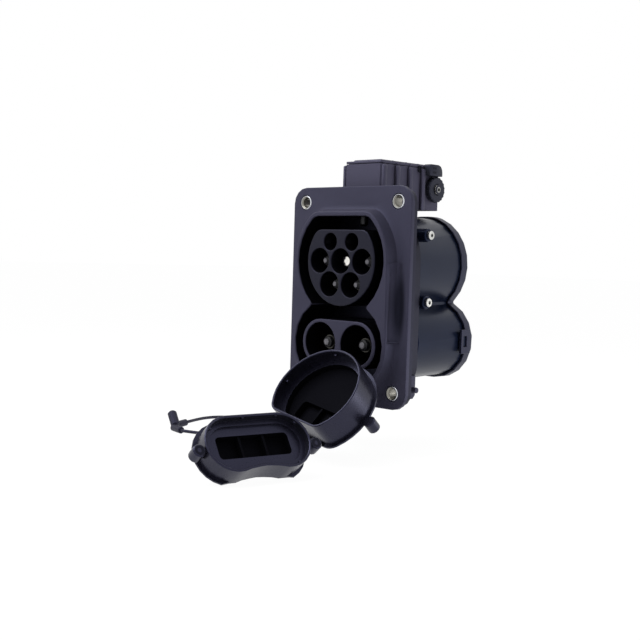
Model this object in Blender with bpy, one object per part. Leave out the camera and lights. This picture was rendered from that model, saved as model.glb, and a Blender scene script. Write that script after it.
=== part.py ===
"""Charge port inlet of a combined AC and DC vehicle socket, with its lock actuator and its two loose caps.

Frame: +X to the right seen from the front, +Y rearward into the vehicle, +Z up. The origin lies on the
front face of the flange, midway between the two upper mounting holes. Sizes are in millimetres and are
turned to metres when a mesh is made.
"""
import math

import bmesh
import bpy
from mathutils import Matrix, Vector

for old in list(bpy.data.objects):
    bpy.data.objects.remove(old, do_unlink=True)

MM = 0.001
GAP = 0.3

# Base behind the flange, and the flange with its four holes just inside the base's width
BASE_HALF_W = 32.4
HOLE_TUCK = 0.4
HOLE_SPACING_X = 2 * (BASE_HALF_W - HOLE_TUCK)
HOLE_SPACING_Z = 96.5
EDGE_SIDE = 8.8
EDGE_TOP = 8.0
EDGE_BOTTOM = 8.3
FLANGE_T = 2.4
FLANGE_CORNER_R = 8.5
FLANGE_EDGE_R = 0.6
RIB_INSET = 1.4
RIB_T = 1.5
RIB_BACK = 6.4
BUSH_R = 3.8
BUSH_BORE_R = 2.6
BUSH_BOSS_WALL = 0.5

# Socket face
AC_DROP = 30.7
AC_ISLAND_R = 23.4
AC_ISLAND_FLAT = 7.1
DC_ISLAND_R = 12.3
ISLAND_GAP = 7.2
DC_DROP = AC_DROP + AC_ISLAND_R + ISLAND_GAP + DC_ISLAND_R
COLLAR_H = 7.2
FACE_RECESS = 0.7
CAVITY_R = 29.6
CAVITY_FLAT = 6.4
CAVITY_TOP = CAVITY_R - CAVITY_FLAT
CAVITY_CORNER = 7.0
DC_CAVITY_R = 22.2
DC_CAVITY_X = 8.0
WAIST_R = 1.2
LIP_W = 2.3
COLLAR_FLARE = 3.6
SCOOP_R = 4.0
SCOOP_X = CAVITY_R + LIP_W + SCOOP_R + 0.3
SCOOP_Y = -4.2
SCOOP_HALF_H = 19.0
CAVITY_DEPTH = 25.0
FLOOR_T = 3.0
HOUSING_WALL = 2.6
BASE_FLOOR = 2.8
BASE_BOTTOM = DC_DROP + DC_CAVITY_R + BASE_FLOOR
BASE_FOOT_R = 16.0
BASE_BACK = 19.4

# Contact carriers
AC_ISLAND_TOP = AC_ISLAND_R - AC_ISLAND_FLAT
AC_ISLAND_CORNER = 6.0
DC_ISLAND_HALF_W = 25.4
CARRIER_LEDGE = 1.0
CARRIER_FLANGE_T = 3.0
AC_HOLE_R = 6.5
AC_PITCH = 14.6
AC_LOWER_X = 7.34
AC_LOWER_Z = -12.07
SIGNAL_HOLE_R = 4.55
SIGNAL_X = 7.39
SIGNAL_Z = 9.92
DC_HOLE_R = 10.6
DC_PITCH = 25.0
SOCKET_DEPTH = 25.5

# Contacts
POWER_PIN_R = 3.0
SIGNAL_PIN_R = 1.5
DC_PIN_R = 4.0
GUARD_R = 2.35
DC_GUARD_R = 3.1
POWER_RECESS = 4.9
EARTH_RECESS = 4.5
SIGNAL_RECESS = 6.8
DC_RECESS = 5.4
PIN_PLAY = 0.3
COLLAR_T = 2.4
RETAINER_T = 3.0
BARREL_L = 15.0
DC_BARREL_L = 19.0

# Spigot and rear housing
SPIGOT_AC_R = 26.9
SPIGOT_DC_R = 18.5
SPIGOT_DC_X = 10.4
SPIGOT_FLAT = 4.1
SPIGOT_TOP = SPIGOT_AC_R - SPIGOT_FLAT
SPIGOT_CORNER = 12.0
SPIGOT_WAIST_R = 5.0
SPIGOT_WALL = 1.7
SPIGOT_BACK = 27.5
REAR_WALL = 2.2
REAR_BACK = 66.0
REAR_AC_DROP = 31.4
REAR_AC_R = 25.6
REAR_FLAT = 0.4
REAR_TOP = REAR_AC_R - REAR_FLAT
REAR_CORNER = 18.0
REAR_DC_RISE = 1.2
REAR_DC_DROP = DC_DROP - REAR_DC_RISE
REAR_DC_R = 20.0
SEAL_T = 1.2
SEAL_W = 1.7
COVER_T = 2.2
COVER_SKIRT = 3.6
COVER_SKIRT_T = 1.3
SCREW_HEAD_X = 35.8
SCREW_Y = 23.2
SCREW_DROPS = (16.2, 50.7)
SCREW_HEAD_R = 2.3
SCREW_HEAD_T = 1.4
SCREW_BOSS_R = 3.5
SCREW_SHANK_R = 1.5
LATCH_H = 13.0
LATCH_REACH = 9.0
LATCH_T = 1.7
DC_GLAND_R = 8.0
DC_CABLE_R = 5.5
AC_GLAND_R = 12.0
AC_CABLE_R = 8.5
GLAND_LIP = 1.6
GLAND_OUT = 5.0

# Lock actuator
ACT_X = 1.4
ACT_HALF_W = 12.4
ACT_FRONT = 7.5
ACT_BACK = 57.5
ACT_BOTTOM = -1.9
ACT_TOP = 22.6
ACT_WALL = 1.4
ACT_LID_T = 1.2
ACT_PAD_T = 0.9
ACT_PAD_INSET = 2.6
FOOT_BACK = 34.0
EAR_W = 6.0
EAR_T = 2.4
EAR_Y = 13.5
LOCK_SCREW_R = 1.4
LOCK_SCREW_BITE = 1.4
BOLT_Y = 11.4
BOLT_R = 2.2
BOLT_REACH = 4.5
BOLT_TRAVEL = 4.8
BOLT_HEAD_W = 5.0
PINION_R = 4.0
PINION_TEETH = 12
TOOTH = 1.5
TOOTH_FOOT = 0.22
TOOTH_TIP = 0.10
MESH_PLAY = 0.3
BEARING_PLAY = 0.1
FRONT_SHAFT_Y = 18.4
REAR_SHAFT_Y = 51.0
SHAFT_Z = 9.2
SHAFT_R = 1.3
RACK_X = 5.0
RACK_W = 3.0
RACK_BASE_Z = 1.2
WHEEL_X = -2.0
WHEEL_W = 3.0
WHEEL_R = 4.5
WHEEL_TEETH = 15
WORM_R = 1.6
WORM_TOOTH = 1.2
FRAME_WALL = 1.2
FRAME_FLOOR = 1.0
FRAME_TOP = 14.0
MOTOR_R = 4.4
MOTOR_FRONT = 24.0
MOTOR_BACK = 40.0
DISC_R = 6.7
DISC_T = 3.2
PLUG_FRONT = 45.5
PLUG_LOW = 16.4
PLUG_HIGH = 21.4
PLUG_T = 3.4

# Loose caps, their anchor and straps
FLOOR_Z = -125.6
CAP_WALL = 1.2
CAP_FLANGE = 1.6
AC_CAP_R = 24.8
AC_CAP_FLAT = 6.4
AC_CAP_TOP = AC_CAP_R - AC_CAP_FLAT
AC_CAP_CORNER = 7.0
AC_CAP_DEPTH = 17.0
AC_CAP_LEDGE = 8.0
AC_CAP_SHELF = 11.5
DC_LOBE_R = 13.9
DC_LOBE_X = 12.9
DC_LOBE_Z = 0.6
DC_CAP_WAIST = 12.7
DC_CAP_DEPTH = 12.0
DC_CAP_LEDGE = 4.2
DC_CAP_SHELF = 5.6
TIP_ANGLE = 78.0
CAP_LEDGE_W = 2.4
CAP_FIN_T = 1.2
CAP_BASE_T = 1.6
AC_CAP_X = 13.38
AC_CAP_Y = -36.64
AC_CAP_SINK = 19.79
DC_CAP_X = 30.03
DC_CAP_Y = -89.14
DC_CAP_SINK = 37.11
EAR_R = 3.1
EAR_L = 6.0
STRAP_R = 0.85
CORD_SEAT = 0.005

HALF_X = HOLE_SPACING_X / 2
PLATE_HALF_W = HALF_X + EDGE_SIDE
PLATE_BOTTOM = -HOLE_SPACING_Z - EDGE_BOTTOM
LIP_Y = -COLLAR_H
FACE_Y = LIP_Y + FACE_RECESS
CAVITY_FLOOR_Y = LIP_Y + CAVITY_DEPTH
FLOOR_BACK_Y = CAVITY_FLOOR_Y + FLOOR_T
SOCKET_FLOOR_Y = FACE_Y + SOCKET_DEPTH
CARRIER_BACK_Y = FLOOR_BACK_Y + GAP + CARRIER_FLANGE_T
COLLAR_BACK_Y = CARRIER_BACK_Y + GAP + COLLAR_T
RETAINER_FRONT_Y = COLLAR_BACK_Y + GAP
RETAINER_BACK_Y = RETAINER_FRONT_Y + RETAINER_T
BASE_TOP_Z = -AC_DROP + CAVITY_TOP + HOUSING_WALL
REAR_FRONT = BASE_BACK + SEAL_T + 2 * GAP
PITCH = 2 * math.pi * PINION_R / PINION_TEETH
FRAME_LEFT = ACT_X - ACT_HALF_W + ACT_WALL + GAP
FRAME_RIGHT = ACT_X + ACT_HALF_W - ACT_WALL - GAP
DISC_X = ACT_X + ACT_HALF_W + GAP

BLACK = (0.02, 0.02, 0.025)
HOUSING = (0.06, 0.06, 0.075)
REAR = (0.035, 0.04, 0.055)
STEEL = (0.62, 0.62, 0.6)
SILVER = (0.82, 0.82, 0.8)
GREY = (0.25, 0.25, 0.27)
RUBBER = (0.03, 0.03, 0.03)

# Places of the contacts, as X and height above the centre of their own face
AC_POWER = {"line_1": (-AC_LOWER_X, AC_LOWER_Z), "line_2": (AC_LOWER_X, AC_LOWER_Z),
            "line_3": (-AC_PITCH, 0.0), "neutral": (AC_PITCH, 0.0)}
SIGNALS = {"pilot": (SIGNAL_X, SIGNAL_Z), "proximity": (-SIGNAL_X, SIGNAL_Z)}
DC_POLES = {"minus": -DC_PITCH / 2, "plus": DC_PITCH / 2}
BUSH_PLACES = [(sx * HALF_X, z) for z in (0.0, -HOLE_SPACING_Z) for sx in (-1, 1)]


def arc(cx, cy, r, start, end, steps):
    """Points on an arc, both ends included; angles in degrees."""
    points = []
    for i in range(steps + 1):
        a = math.radians(start + (end - start) * i / steps)
        points.append((cx + r * math.cos(a), cy + r * math.sin(a)))
    return points


def circle(cx, cy, r, steps, start=0.0):
    return arc(cx, cy, r, start, start + 360.0, steps)[:-1]


def box_outline(x0, x1, y0, y1):
    return [(x0, y1), (x1, y1), (x1, y0), (x0, y0)]


def rounded_rect(x0, x1, z0, z1, r, steps=4):
    return (arc(x1 - r, z1 - r, r, 90, 0, steps) + arc(x1 - r, z0 + r, r, 0, -90, steps)
            + arc(x0 + r, z0 + r, r, 270, 180, steps) + arc(x0 + r, z1 - r, r, 180, 90, steps))


def mirrored(right_side):
    """Closes an outline from its right half, given from the top centre line down to the bottom one."""
    left = [(-x, z) for x, z in reversed(right_side) if x > 1e-6]
    return right_side + left


def d_top(cz, r, top, corner, steps):
    """The right half of a flat top with its rounded corner, and the angle where the circle takes over."""
    flat = math.sqrt((r - corner) ** 2 - (top - corner) ** 2)
    turn = math.degrees(math.atan2(top - corner, flat))
    return arc(flat, cz + top - corner, corner, 90, turn, steps), turn


def d_outline(cz, r, top, corner, corner_steps=3, arc_steps=13):
    """A circle with a flat top."""
    right, turn = d_top(cz, r, top, corner, corner_steps)
    return mirrored(right + arc(0, cz, r, turn, -90, arc_steps)[1:])


def stadium(cz, half_w, r, steps=12):
    return mirrored(arc(half_w - r, cz, r, 90, -90, steps))


def twin_outline(ac_z, ac_r, top, corner, dc_z, dc_r, dc_x, waist_r):
    """The waisted outline of cavity, spigot and rear housing: a D above, two round corners below, and a
    hollow blend of radius waist_r between them."""
    right, turn = d_top(ac_z, ac_r, top, corner, 3)
    span = math.hypot(dc_x, dc_z - ac_z)
    waist_r = max(waist_r, (span - ac_r - dc_r) / 2 + GAP)
    reach = ac_r + waist_r
    along = (reach ** 2 - (dc_r + waist_r) ** 2 + span ** 2) / (2 * span)
    aside = math.sqrt(reach ** 2 - along ** 2)
    ux, uz = dc_x / span, (dc_z - ac_z) / span
    wx = ux * along - uz * aside
    wz = ac_z + uz * along + ux * aside
    leave = math.degrees(math.atan2(wz - ac_z, wx))
    enter = math.degrees(math.atan2(wz - dc_z, wx - dc_x))
    right += arc(0, ac_z, ac_r, turn, leave, 8)[1:]
    right += arc(wx, wz, waist_r, leave + 180, enter + 180, 3)[1:]
    right += arc(dc_x, dc_z, dc_r, enter, -90, 8)[1:]
    return mirrored(right)


def hull_outline(ac_z, ac_r, top, corner, dc_z, dc_r, dc_x):
    """The outline of collar and base: the D and the lower corners joined by straight tangents."""
    right, turn = d_top(ac_z, ac_r, top, corner, 3)
    span = math.hypot(dc_x, dc_z - ac_z)
    heading = math.degrees(math.atan2(dc_z - ac_z, dc_x))
    tangent = heading + math.degrees(math.acos((ac_r - dc_r) / span))
    right += arc(0, ac_z, ac_r, turn, tangent, 9)[1:]
    right += arc(dc_x, dc_z, dc_r, tangent, -90, 9)
    return mirrored(right)


def at_x(points, x):
    return [Vector((x, y, z)) for y, z in points]


def at_y(points, y):
    return [Vector((x, y, z)) for x, z in points]


def at_z(points, z):
    return [Vector((x, y, z)) for x, y in points]


LAY = {"X": at_x, "Y": at_y, "Z": at_z}


def add_object(bm, name, colour, rough, metal, place=None, origin=None, sharp=32.0):
    """Turns a mesh in millimetres into a named object with its own material and its origin at a point."""
    pivot = Vector(origin) if origin else Vector((0, 0, 0))
    if place is not None:
        bm.transform(place)
    bm.transform(Matrix.Scale(MM, 4) @ Matrix.Translation(-pivot))
    mesh = bpy.data.meshes.new(name)
    bm.to_mesh(mesh)
    bm.free()
    mesh.shade_smooth()
    mesh.set_sharp_from_angle(angle=math.radians(sharp))
    obj = bpy.data.objects.new(name, mesh)
    obj.location = pivot * MM
    bpy.context.scene.collection.objects.link(obj)
    mesh.materials.append(finish(name, colour, rough, metal))
    return obj


def finish(name, colour, rough, metal):
    material = bpy.data.materials.new(name + "_finish")
    material.use_nodes = True
    shader = material.node_tree.nodes["Principled BSDF"]
    shader.inputs["Base Color"].default_value = (*colour, 1.0)
    shader.inputs["Roughness"].default_value = rough
    shader.inputs["Metallic"].default_value = metal
    return material


class Solid:
    """A closed body made from loops of points that walls and caps join."""

    def __init__(self):
        self.bm = bmesh.new()

    def loop(self, points):
        verts = [self.bm.verts.new(p) for p in points]
        for i, v in enumerate(verts):
            self.bm.edges.new((verts[i - 1], v))
        return verts

    def wall(self, a, b):
        for i in range(len(a)):
            self.bm.faces.new((a[i - 1], a[i], b[i], b[i - 1]))

    def skin(self, loops):
        """Walls through a row of point lists; returns the first and the last loop."""
        made = [self.loop(points) for points in loops]
        for a, b in zip(made, made[1:]):
            self.wall(a, b)
        return made[0], made[-1]

    def cap(self, *loops):
        """A flat face bounded by the first loop, with the others as holes in it."""
        edges = [self.bm.edges.get((verts[i - 1], v)) for verts in loops for i, v in enumerate(verts)]
        bmesh.ops.triangle_fill(self.bm, use_beauty=True, use_dissolve=False, edges=edges)

    def pocket(self, points, depth_points):
        """A blind recess; returns its mouth, which a cap then takes as a hole."""
        mouth, bottom = self.skin([points, depth_points])
        self.cap(bottom)
        return mouth

    def done(self, name, colour=BLACK, rough=0.5, metal=0.0, **more):
        bmesh.ops.recalc_face_normals(self.bm, faces=self.bm.faces)
        return add_object(self.bm, name, colour, rough, metal, **more)


def boolean(target, cutter, operation="DIFFERENCE"):
    cutter.hide_render = True
    cutter.display_type = "WIRE"
    step = target.modifiers.new(cutter.name, "BOOLEAN")
    step.operation = operation
    step.object = cutter
    step.solver = "EXACT"


def round_loops(profile, centre, axis, steps):
    """Rings of a turned piece; profile holds (radius, distance along the axis)."""
    cx, cy, cz = centre
    put = {"X": lambda u, v, w: Vector((cx + w, cy + u, cz + v)),
           "Y": lambda u, v, w: Vector((cx + u, cy + w, cz + v)),
           "Z": lambda u, v, w: Vector((cx + u, cy + v, cz + w))}[axis]
    return [[put(u, v, w) for u, v in circle(0, 0, r, steps)] for r, w in profile]


def turned(name, profile, centre=(0, 0, 0), axis="Y", steps=14, hollow=False, **look):
    solid = Solid()
    first, last = solid.skin(round_loops(profile, centre, axis, steps))
    if hollow:
        solid.wall(last, first)
    else:
        solid.cap(first)
        solid.cap(last)
    return solid.done(name, **look)


def prism(name, outline, w0, w1, holes=(), axis="Y", **look):
    """An outline carried along one axis, with holes that run right through."""
    lay = LAY[axis]
    solid = Solid()
    ends = [solid.skin([lay(shape, w0), lay(shape, w1)]) for shape in (outline, *holes)]
    solid.cap(*[end[0] for end in ends])
    solid.cap(*[end[1] for end in ends])
    return solid.done(name, **look)


def joined(name, makers):
    """Several disjoint solids in one mesh, used as a cutter or an addition."""
    whole = bmesh.new()
    for make in makers:
        piece = make("part_of_" + name)
        piece.data.transform(Matrix.Translation(piece.location))
        whole.from_mesh(piece.data)
        bpy.data.objects.remove(piece, do_unlink=True)
    mesh = bpy.data.meshes.new(name)
    whole.to_mesh(mesh)
    whole.free()
    obj = bpy.data.objects.new(name, mesh)
    bpy.context.scene.collection.objects.link(obj)
    return obj


# Outlines that several pieces share


def cavity_outline(grow=0.0):
    return twin_outline(-AC_DROP, CAVITY_R + grow, CAVITY_TOP + grow, CAVITY_CORNER + grow, -DC_DROP,
                        DC_CAVITY_R + grow, DC_CAVITY_X, WAIST_R - grow)


def collar_outline(grow):
    return hull_outline(-AC_DROP, CAVITY_R + grow, CAVITY_TOP + grow, CAVITY_CORNER + grow, -DC_DROP,
                        DC_CAVITY_R + grow, DC_CAVITY_X)


def base_outline():
    r = BASE_HALF_W
    foot_z = -BASE_BOTTOM + BASE_FOOT_R
    return hull_outline(-AC_DROP, r, CAVITY_TOP + HOUSING_WALL, CAVITY_CORNER + HOUSING_WALL, foot_z,
                        BASE_FOOT_R, BASE_HALF_W - BASE_FOOT_R - 0.001)


def spigot_outline(grow=0.0):
    return twin_outline(-AC_DROP, SPIGOT_AC_R + grow, SPIGOT_TOP + grow, SPIGOT_CORNER + grow, -REAR_DC_DROP,
                        SPIGOT_DC_R + grow, SPIGOT_DC_X, SPIGOT_WAIST_R - grow)


def rear_outline(y, grow=0.0):
    """The outer outline of the rear housing, which tapers from its front to its back."""
    share = (y - REAR_FRONT) / (REAR_BACK - REAR_FRONT)
    fit = GAP + REAR_WALL

    def mix(front, back):
        return front + (back - front) * share

    r = mix(SPIGOT_AC_R + fit, REAR_AC_R) + grow
    top = mix(SPIGOT_TOP + fit, REAR_TOP) + grow
    corner = mix(SPIGOT_CORNER + fit, REAR_CORNER) + grow
    return twin_outline(-mix(AC_DROP, REAR_AC_DROP), r, top, corner, -REAR_DC_DROP,
                        mix(SPIGOT_DC_R + fit, REAR_DC_R) + grow, SPIGOT_DC_X, SPIGOT_WAIST_R - fit - grow)


def ac_island(grow=0.0):
    return d_outline(-AC_DROP, AC_ISLAND_R + grow, AC_ISLAND_TOP + grow, AC_ISLAND_CORNER + grow)


def dc_island(grow=0.0):
    return stadium(-DC_DROP, DC_ISLAND_HALF_W + grow, DC_ISLAND_R + grow)


def flange_outline(inset):
    return rounded_rect(-PLATE_HALF_W + inset, PLATE_HALF_W - inset, PLATE_BOTTOM + inset,
                        EDGE_TOP - inset, FLANGE_CORNER_R - inset)


def side_screws():
    """Side, height and the rear housing's surface X of each radial screw."""
    for drop in SCREW_DROPS:
        reach = math.sqrt(SPIGOT_AC_R ** 2 - (drop - AC_DROP) ** 2)
        for side in (-1, 1):
            yield side, -drop, reach


# Front housing: flange, collar, cavity and spigot in one moulding


def front_housing():
    solid = Solid()
    plate_front, plate_back = solid.skin([at_y(flange_outline(FLANGE_EDGE_R), 0),
                                          at_y(flange_outline(FLANGE_EDGE_R * 0.3), FLANGE_EDGE_R * 0.3),
                                          at_y(flange_outline(0), FLANGE_EDGE_R),
                                          at_y(flange_outline(0), FLANGE_T)])
    collar_base, collar_top = solid.skin([at_y(collar_outline(LIP_W + COLLAR_FLARE), 0),
                                          at_y(collar_outline(LIP_W + COLLAR_FLARE * 0.4), LIP_Y * 0.13),
                                          at_y(collar_outline(LIP_W + COLLAR_FLARE * 0.15), LIP_Y * 0.55),
                                          at_y(collar_outline(LIP_W), LIP_Y + 0.5),
                                          at_y(collar_outline(LIP_W - 0.5), LIP_Y)])
    mouth, cavity_floor = solid.skin([at_y(cavity_outline(0.4), LIP_Y), at_y(cavity_outline(), LIP_Y + 0.5),
                                      at_y(cavity_outline(), CAVITY_FLOOR_Y)])
    solid.cap(collar_top, mouth)
    rib_foot, rib_edge = solid.skin([at_y(flange_outline(RIB_INSET), FLANGE_T),
                                     at_y(flange_outline(RIB_INSET), RIB_BACK)])
    rib_inner_edge, rib_inner_foot = solid.skin([at_y(flange_outline(RIB_INSET + RIB_T), RIB_BACK),
                                                 at_y(flange_outline(RIB_INSET + RIB_T), FLANGE_T)])
    solid.cap(plate_back, rib_foot)
    solid.cap(rib_edge, rib_inner_edge)
    front_holes = []
    boss_feet = []
    for x, z in BUSH_PLACES:
        outer = circle(x, z, BUSH_R + GAP + BUSH_BOSS_WALL, 18)
        inner = circle(x, z, BUSH_R + GAP, 18)
        boss_foot, boss_end = solid.skin([at_y(outer, FLANGE_T), at_y(outer, RIB_BACK)])
        bore_back, bore_front = solid.skin([at_y(inner, RIB_BACK), at_y(inner, 0)])
        solid.cap(boss_end, bore_back)
        boss_feet.append(boss_foot)
        front_holes.append(bore_front)
    solid.cap(plate_front, collar_base, *front_holes)
    base_front, base_back = solid.skin([at_y(base_outline(), FLANGE_T), at_y(base_outline(), BASE_BACK)])
    solid.cap(rib_inner_foot, base_front, *boss_feet)
    spigot_foot, spigot_end = solid.skin([at_y(spigot_outline(), BASE_BACK),
                                          at_y(spigot_outline(), SPIGOT_BACK - 0.5),
                                          at_y(spigot_outline(-0.5), SPIGOT_BACK)])
    solid.cap(base_back, spigot_foot)
    inner_end, inner_floor = solid.skin([at_y(spigot_outline(-SPIGOT_WALL), SPIGOT_BACK),
                                         at_y(spigot_outline(-SPIGOT_WALL), FLOOR_BACK_Y)])
    solid.cap(spigot_end, inner_end)
    ac_front, ac_back = solid.skin([at_y(ac_island(GAP), CAVITY_FLOOR_Y), at_y(ac_island(GAP), FLOOR_BACK_Y)])
    dc_front, dc_back = solid.skin([at_y(dc_island(GAP), CAVITY_FLOOR_Y), at_y(dc_island(GAP), FLOOR_BACK_Y)])
    solid.cap(cavity_floor, ac_front, dc_front)
    solid.cap(inner_floor, ac_back, dc_back)
    housing = solid.done("front_housing", HOUSING, 0.45)

    bolt_hole = turned("bolt_hole_cutter", [(BOLT_R + GAP, BASE_TOP_Z - 6), (BOLT_R + GAP, BASE_TOP_Z + 2)],
                       (0, BOLT_Y, 0), "Z")
    boolean(housing, bolt_hole)
    screw_holes = [lambda n, s=s, z=z: turned(n, [(SCREW_SHANK_R + GAP, s * 15), (SCREW_SHANK_R + GAP, s * 34)],
                                              (0, SCREW_Y, z), "X", 10) for s, z, reach in side_screws()]
    screw_holes += [lambda n, x=x: turned(n, [(LOCK_SCREW_R + GAP, BASE_TOP_Z - LOCK_SCREW_BITE - 0.4),
                                              (LOCK_SCREW_R + GAP, BASE_TOP_Z + 2)], (x, EAR_Y, 0), "Z", 12)
                    for x in ear_screw_x()]
    boolean(housing, joined("housing_screw_cutter", screw_holes))
    middle_z = -(AC_DROP + DC_DROP) / 2
    scoops = [lambda n, s=s: turned(n, [(SCOOP_R, middle_z - SCOOP_HALF_H), (SCOOP_R, middle_z + SCOOP_HALF_H)],
                                    (s * SCOOP_X, SCOOP_Y, 0), "Z", 16) for s in (-1, 1)]
    boolean(housing, joined("collar_scoop_cutter", scoops))
    return housing


def mounting_bushings():
    for number, (x, z) in enumerate(BUSH_PLACES, 1):
        turned(f"mounting_bushing_{number}",
               [(BUSH_BORE_R, RIB_BACK), (BUSH_R, RIB_BACK), (BUSH_R, 0.3), (BUSH_R - 0.3, 0.0),
                (BUSH_BORE_R + 0.7, 0.0), (BUSH_BORE_R, 0.7)],
               (x, 0, z), steps=18, hollow=True, colour=SILVER, rough=0.25, metal=1.0)


# Contact carriers: an island with deep sockets, and a flange behind the cavity floor


def carrier(name, island, flange, sockets):
    """sockets holds (x, z, socket radius, pin radius, sides)."""
    solid = Solid()
    face, neck = solid.skin([at_y(island(-0.5), FACE_Y), at_y(island(0), FACE_Y + 0.5),
                             at_y(island(0), FLOOR_BACK_Y + GAP)])
    flange_front, flange_back = solid.skin([at_y(flange, FLOOR_BACK_Y + GAP), at_y(flange, CARRIER_BACK_Y)])
    solid.cap(neck, flange_front)
    mouths = []
    backs = []
    for x, z, socket_r, pin_r, sides in sockets:
        mouth, floor = solid.skin([at_y(circle(x, z, socket_r + 0.35, sides), FACE_Y),
                                   at_y(circle(x, z, socket_r, sides), FACE_Y + 0.35),
                                   at_y(circle(x, z, socket_r, sides), SOCKET_FLOOR_Y)])
        seat, back = solid.skin([at_y(circle(x, z, pin_r + PIN_PLAY, sides), SOCKET_FLOOR_Y),
                                 at_y(circle(x, z, pin_r + PIN_PLAY, sides), CARRIER_BACK_Y)])
        solid.cap(floor, seat)
        mouths.append(mouth)
        backs.append(back)
    solid.cap(face, *mouths)
    solid.cap(flange_back, *backs)
    return solid.done(name, HOUSING, 0.5)


def contact_carriers():
    sockets = [(x, z - AC_DROP, AC_HOLE_R, POWER_PIN_R, 22) for x, z in [(0.0, 0.0), *AC_POWER.values()]]
    sockets += [(x, z - AC_DROP, SIGNAL_HOLE_R, SIGNAL_PIN_R, 16) for x, z in SIGNALS.values()]
    carrier("ac_contact_carrier", ac_island, ac_island(CARRIER_LEDGE), sockets)
    carrier("dc_contact_carrier", dc_island, dc_island(CARRIER_LEDGE),
            [(x, -DC_DROP, DC_HOLE_R, DC_PIN_R, 28) for x in DC_POLES.values()])


# Contacts: pin, shoulder and crimp barrel turned in one, with a moulded touch guard in the tip


def contact(name, x, z, pin_r, recess, barrel_l, guard_r=0.0, steps=14, colour=STEEL):
    tip = FACE_Y + recess
    shoulder = CARRIER_BACK_Y + GAP
    barrel_r = pin_r * 1.32
    start = tip + (1.9 + GAP if guard_r else 0.0)
    if guard_r:
        stem = guard_r * 0.45
        nose = [(stem + GAP, start + 3.4), (stem + GAP, start), (pin_r - 0.3, start), (pin_r, start + 0.4)]
        turned(f"{name}_touch_guard",
               [(guard_r * 0.62, tip), (guard_r * 0.93, tip + 0.45), (guard_r, tip + 1.9), (stem, tip + 1.9),
                (stem, start + 3.0)], (x, 0, z), steps=steps, colour=GREY, rough=0.5)
    else:
        nose = [(pin_r * 0.35, start), (pin_r * 0.8, start + 0.35), (pin_r, start + 1.1)]
    turned(name, nose + [(pin_r, shoulder), (pin_r * 1.5, shoulder), (pin_r * 1.5, COLLAR_BACK_Y),
                         (barrel_r, COLLAR_BACK_Y), (barrel_r, RETAINER_BACK_Y + barrel_l),
                         (barrel_r - pin_r * 0.28, RETAINER_BACK_Y + barrel_l),
                         (barrel_r - pin_r * 0.28, RETAINER_BACK_Y + 4.0)],
           (x, 0, z), steps=steps, colour=colour, rough=0.3, metal=1.0)
    return barrel_r


def contacts():
    contact("contact_earth", 0.0, -AC_DROP, POWER_PIN_R, EARTH_RECESS, BARREL_L, colour=SILVER)
    for name, (x, z) in AC_POWER.items():
        contact(f"contact_{name}", x, z - AC_DROP, POWER_PIN_R, POWER_RECESS, BARREL_L, GUARD_R)
    for name, (x, z) in SIGNALS.items():
        contact(f"contact_{name}", x, z - AC_DROP, SIGNAL_PIN_R, SIGNAL_RECESS, BARREL_L * 0.7, steps=10)
    for name, x in DC_POLES.items():
        contact(f"contact_dc_{name}", x, -DC_DROP, DC_PIN_R, DC_RECESS, DC_BARREL_L, DC_GUARD_R, 16)


def retainers():
    holes = [circle(x, z - AC_DROP, POWER_PIN_R * 1.32 + GAP, 14) for x, z in [(0, 0), *AC_POWER.values()]]
    holes += [circle(x, z - AC_DROP, SIGNAL_PIN_R * 1.32 + GAP, 10) for x, z in SIGNALS.values()]
    prism("ac_contact_retainer", ac_island(CARRIER_LEDGE - 0.2), RETAINER_FRONT_Y, RETAINER_BACK_Y, holes,
          colour=GREY, rough=0.6)
    holes = [circle(x, -DC_DROP, DC_PIN_R * 1.32 + GAP, 16) for x in DC_POLES.values()]
    prism("dc_contact_retainer", dc_island(CARRIER_LEDGE - 0.2), RETAINER_FRONT_Y, RETAINER_BACK_Y, holes,
          colour=GREY, rough=0.6)


def temperature_sensors():
    spots = [("sensor_ac", *AC_POWER["neutral"], -AC_DROP, POWER_PIN_R)]
    spots += [(f"sensor_dc_{name}", x, 0.0, -DC_DROP, DC_PIN_R) for name, x in DC_POLES.items()]
    for name, x, dz, z, pin_r in spots:
        inner = pin_r * 1.32 + GAP
        turned(name, [(inner, 0), (inner + 1.2, 0), (inner + 1.2, 3.6), (inner, 3.6)],
               (x, RETAINER_BACK_Y + GAP, z + dz), steps=14, hollow=True, colour=GREY, rough=0.6)


# Rear housing, its seal, screws and cover


def housing_seal():
    prism("housing_seal", spigot_outline(SEAL_W), BASE_BACK + GAP, BASE_BACK + GAP + SEAL_T,
          [spigot_outline(GAP)], colour=RUBBER, rough=0.8)


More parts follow.
